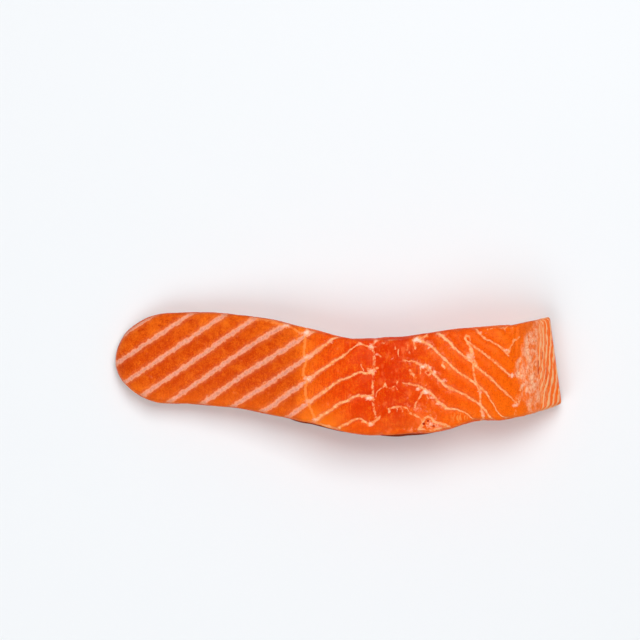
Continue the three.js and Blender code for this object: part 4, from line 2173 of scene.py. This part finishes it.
@dataclass(frozen=True)
class Studio:
    """Pale floor, soft lights and the camera straight above, as in the photograph.

    Attributes:
        shift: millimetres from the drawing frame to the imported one.
        view_centre: what the camera looks at, in the drawing frame.
        view_width: width of the view there.
        view_height: height that it is measured at.
    """

    shift: Triple
    view_centre: Point = (-7.49, 22.07)
    view_width: float = 259.2
    view_height: float = 24.0
    camera_distance: float = 5000.0
    sensor: float = 36.0
    floor_colour: Colour = srgb(236, 239, 242)
    floor_size: float = 24.0
    floor_grain: Grain = Grain(40.0, 30.0)
    floor_wash: float = 0.04
    floor_roughness: float = 0.7
    horizon: float = 0.55
    zenith: float = 0.2
    lamps: tuple[Lamp, ...] = (
        Lamp("key", (0.25, 0.6, 1.3), 0.9, 14.4),
        Lamp("fill", (-0.4, -0.75, 1.15), 1.0, 8.6),
    )

    def build_floor(self) -> None:
        """Lay the floor."""
        mesh = bpy.data.meshes.new("floor")
        reach = self.floor_size / 2
        corners = [(-reach, -reach, 0), (reach, -reach, 0), (reach, reach, 0), (-reach, reach, 0)]
        mesh.from_pydata(corners, [], [(0, 1, 2, 3)])
        floor = bpy.data.objects.new("floor", mesh)
        bpy.context.scene.collection.objects.link(floor)
        graph = Graph(bpy.data.materials.new("floor_paper"))
        share = self.floor_wash * graph.noise(self.floor_grain)
        tint = graph.mix(share, self.floor_colour, (1.0, 1.0, 1.0, 1.0))
        shader = {"Base Color": tint, "Roughness": self.floor_roughness}
        mesh.materials.append(graph.surface(shader))

    def build_world(self) -> None:
        """Make the surroundings bright low down and dim overhead."""
        world = bpy.data.worlds.new("studio")
        bpy.context.scene.world = world
        graph = Graph(world)
        where = graph.node("ShaderNodeTexCoord", output="Generated")
        up = graph.node("ShaderNodeSeparateXYZ", None, {0: where}, "Z")
        ends = {"Value": up, "To Min": self.horizon, "To Max": self.zenith}
        grade = graph.node("ShaderNodeMapRange", None, ends)
        background = graph.node("ShaderNodeBackground", None, {"Strength": grade})
        graph.node("ShaderNodeOutputWorld", None, {"Surface": background})

    def build_camera(self) -> None:
        """Set the camera straight above, with the photograph's framing."""
        data = bpy.data.cameras.new("camera")
        data.sensor_width = self.sensor
        data.lens = self.sensor * self.camera_distance / self.view_width
        camera = bpy.data.objects.new("camera", data)
        place = (*self.view_centre, self.view_height + self.camera_distance)
        camera.location = Vector(place) * MM + Vector(self.shift) * MM
        bpy.context.scene.collection.objects.link(camera)
        bpy.context.scene.camera = camera

    def build(self) -> None:
        """Build the whole studio."""
        bpy.context.scene.view_settings.view_transform = "Standard"
        self.build_floor()
        self.build_world()
        for lamp in self.lamps:
            lamp.build()
        self.build_camera()


def packed_shift(ring: Ring) -> np.ndarray:
    """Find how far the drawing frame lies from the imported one.

    Args:
        ring: the plain sections of the portion.

    Returns:
        Millimetres in X, Y and Z.
    """
    low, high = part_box(NODE)
    packed = [(low[axis] + high[axis]) / 2 / MM for axis in (0, 1)]
    drawn = [(values.min() + values.max()) / 2 for values in (ring.x, ring.y)]
    return np.array([packed[0] - drawn[0], packed[1] - drawn[1], 0.0])


def main() -> None:
    """Build the portion and its studio."""
    logging.basicConfig(level=logging.INFO, format="%(message)s")
    form = PortionForm()
    flesh = Flesh(form, Sheets(), Markings())
    plain = flesh.plain_ring(flesh.places())
    outline = Ring(form.shifted(plain.x, plain.y), plain.y, plain.z)
    shift = packed_shift(outline)
    log.info("shift to the packed frame: %s", shift.round(3))
    Studio(tuple(shift)).build()
    flesh.build(shift, FleshFinish().material())
    Skin(form).build(shift, SkinFinish().material())


if __name__ == "__main__":
    main()
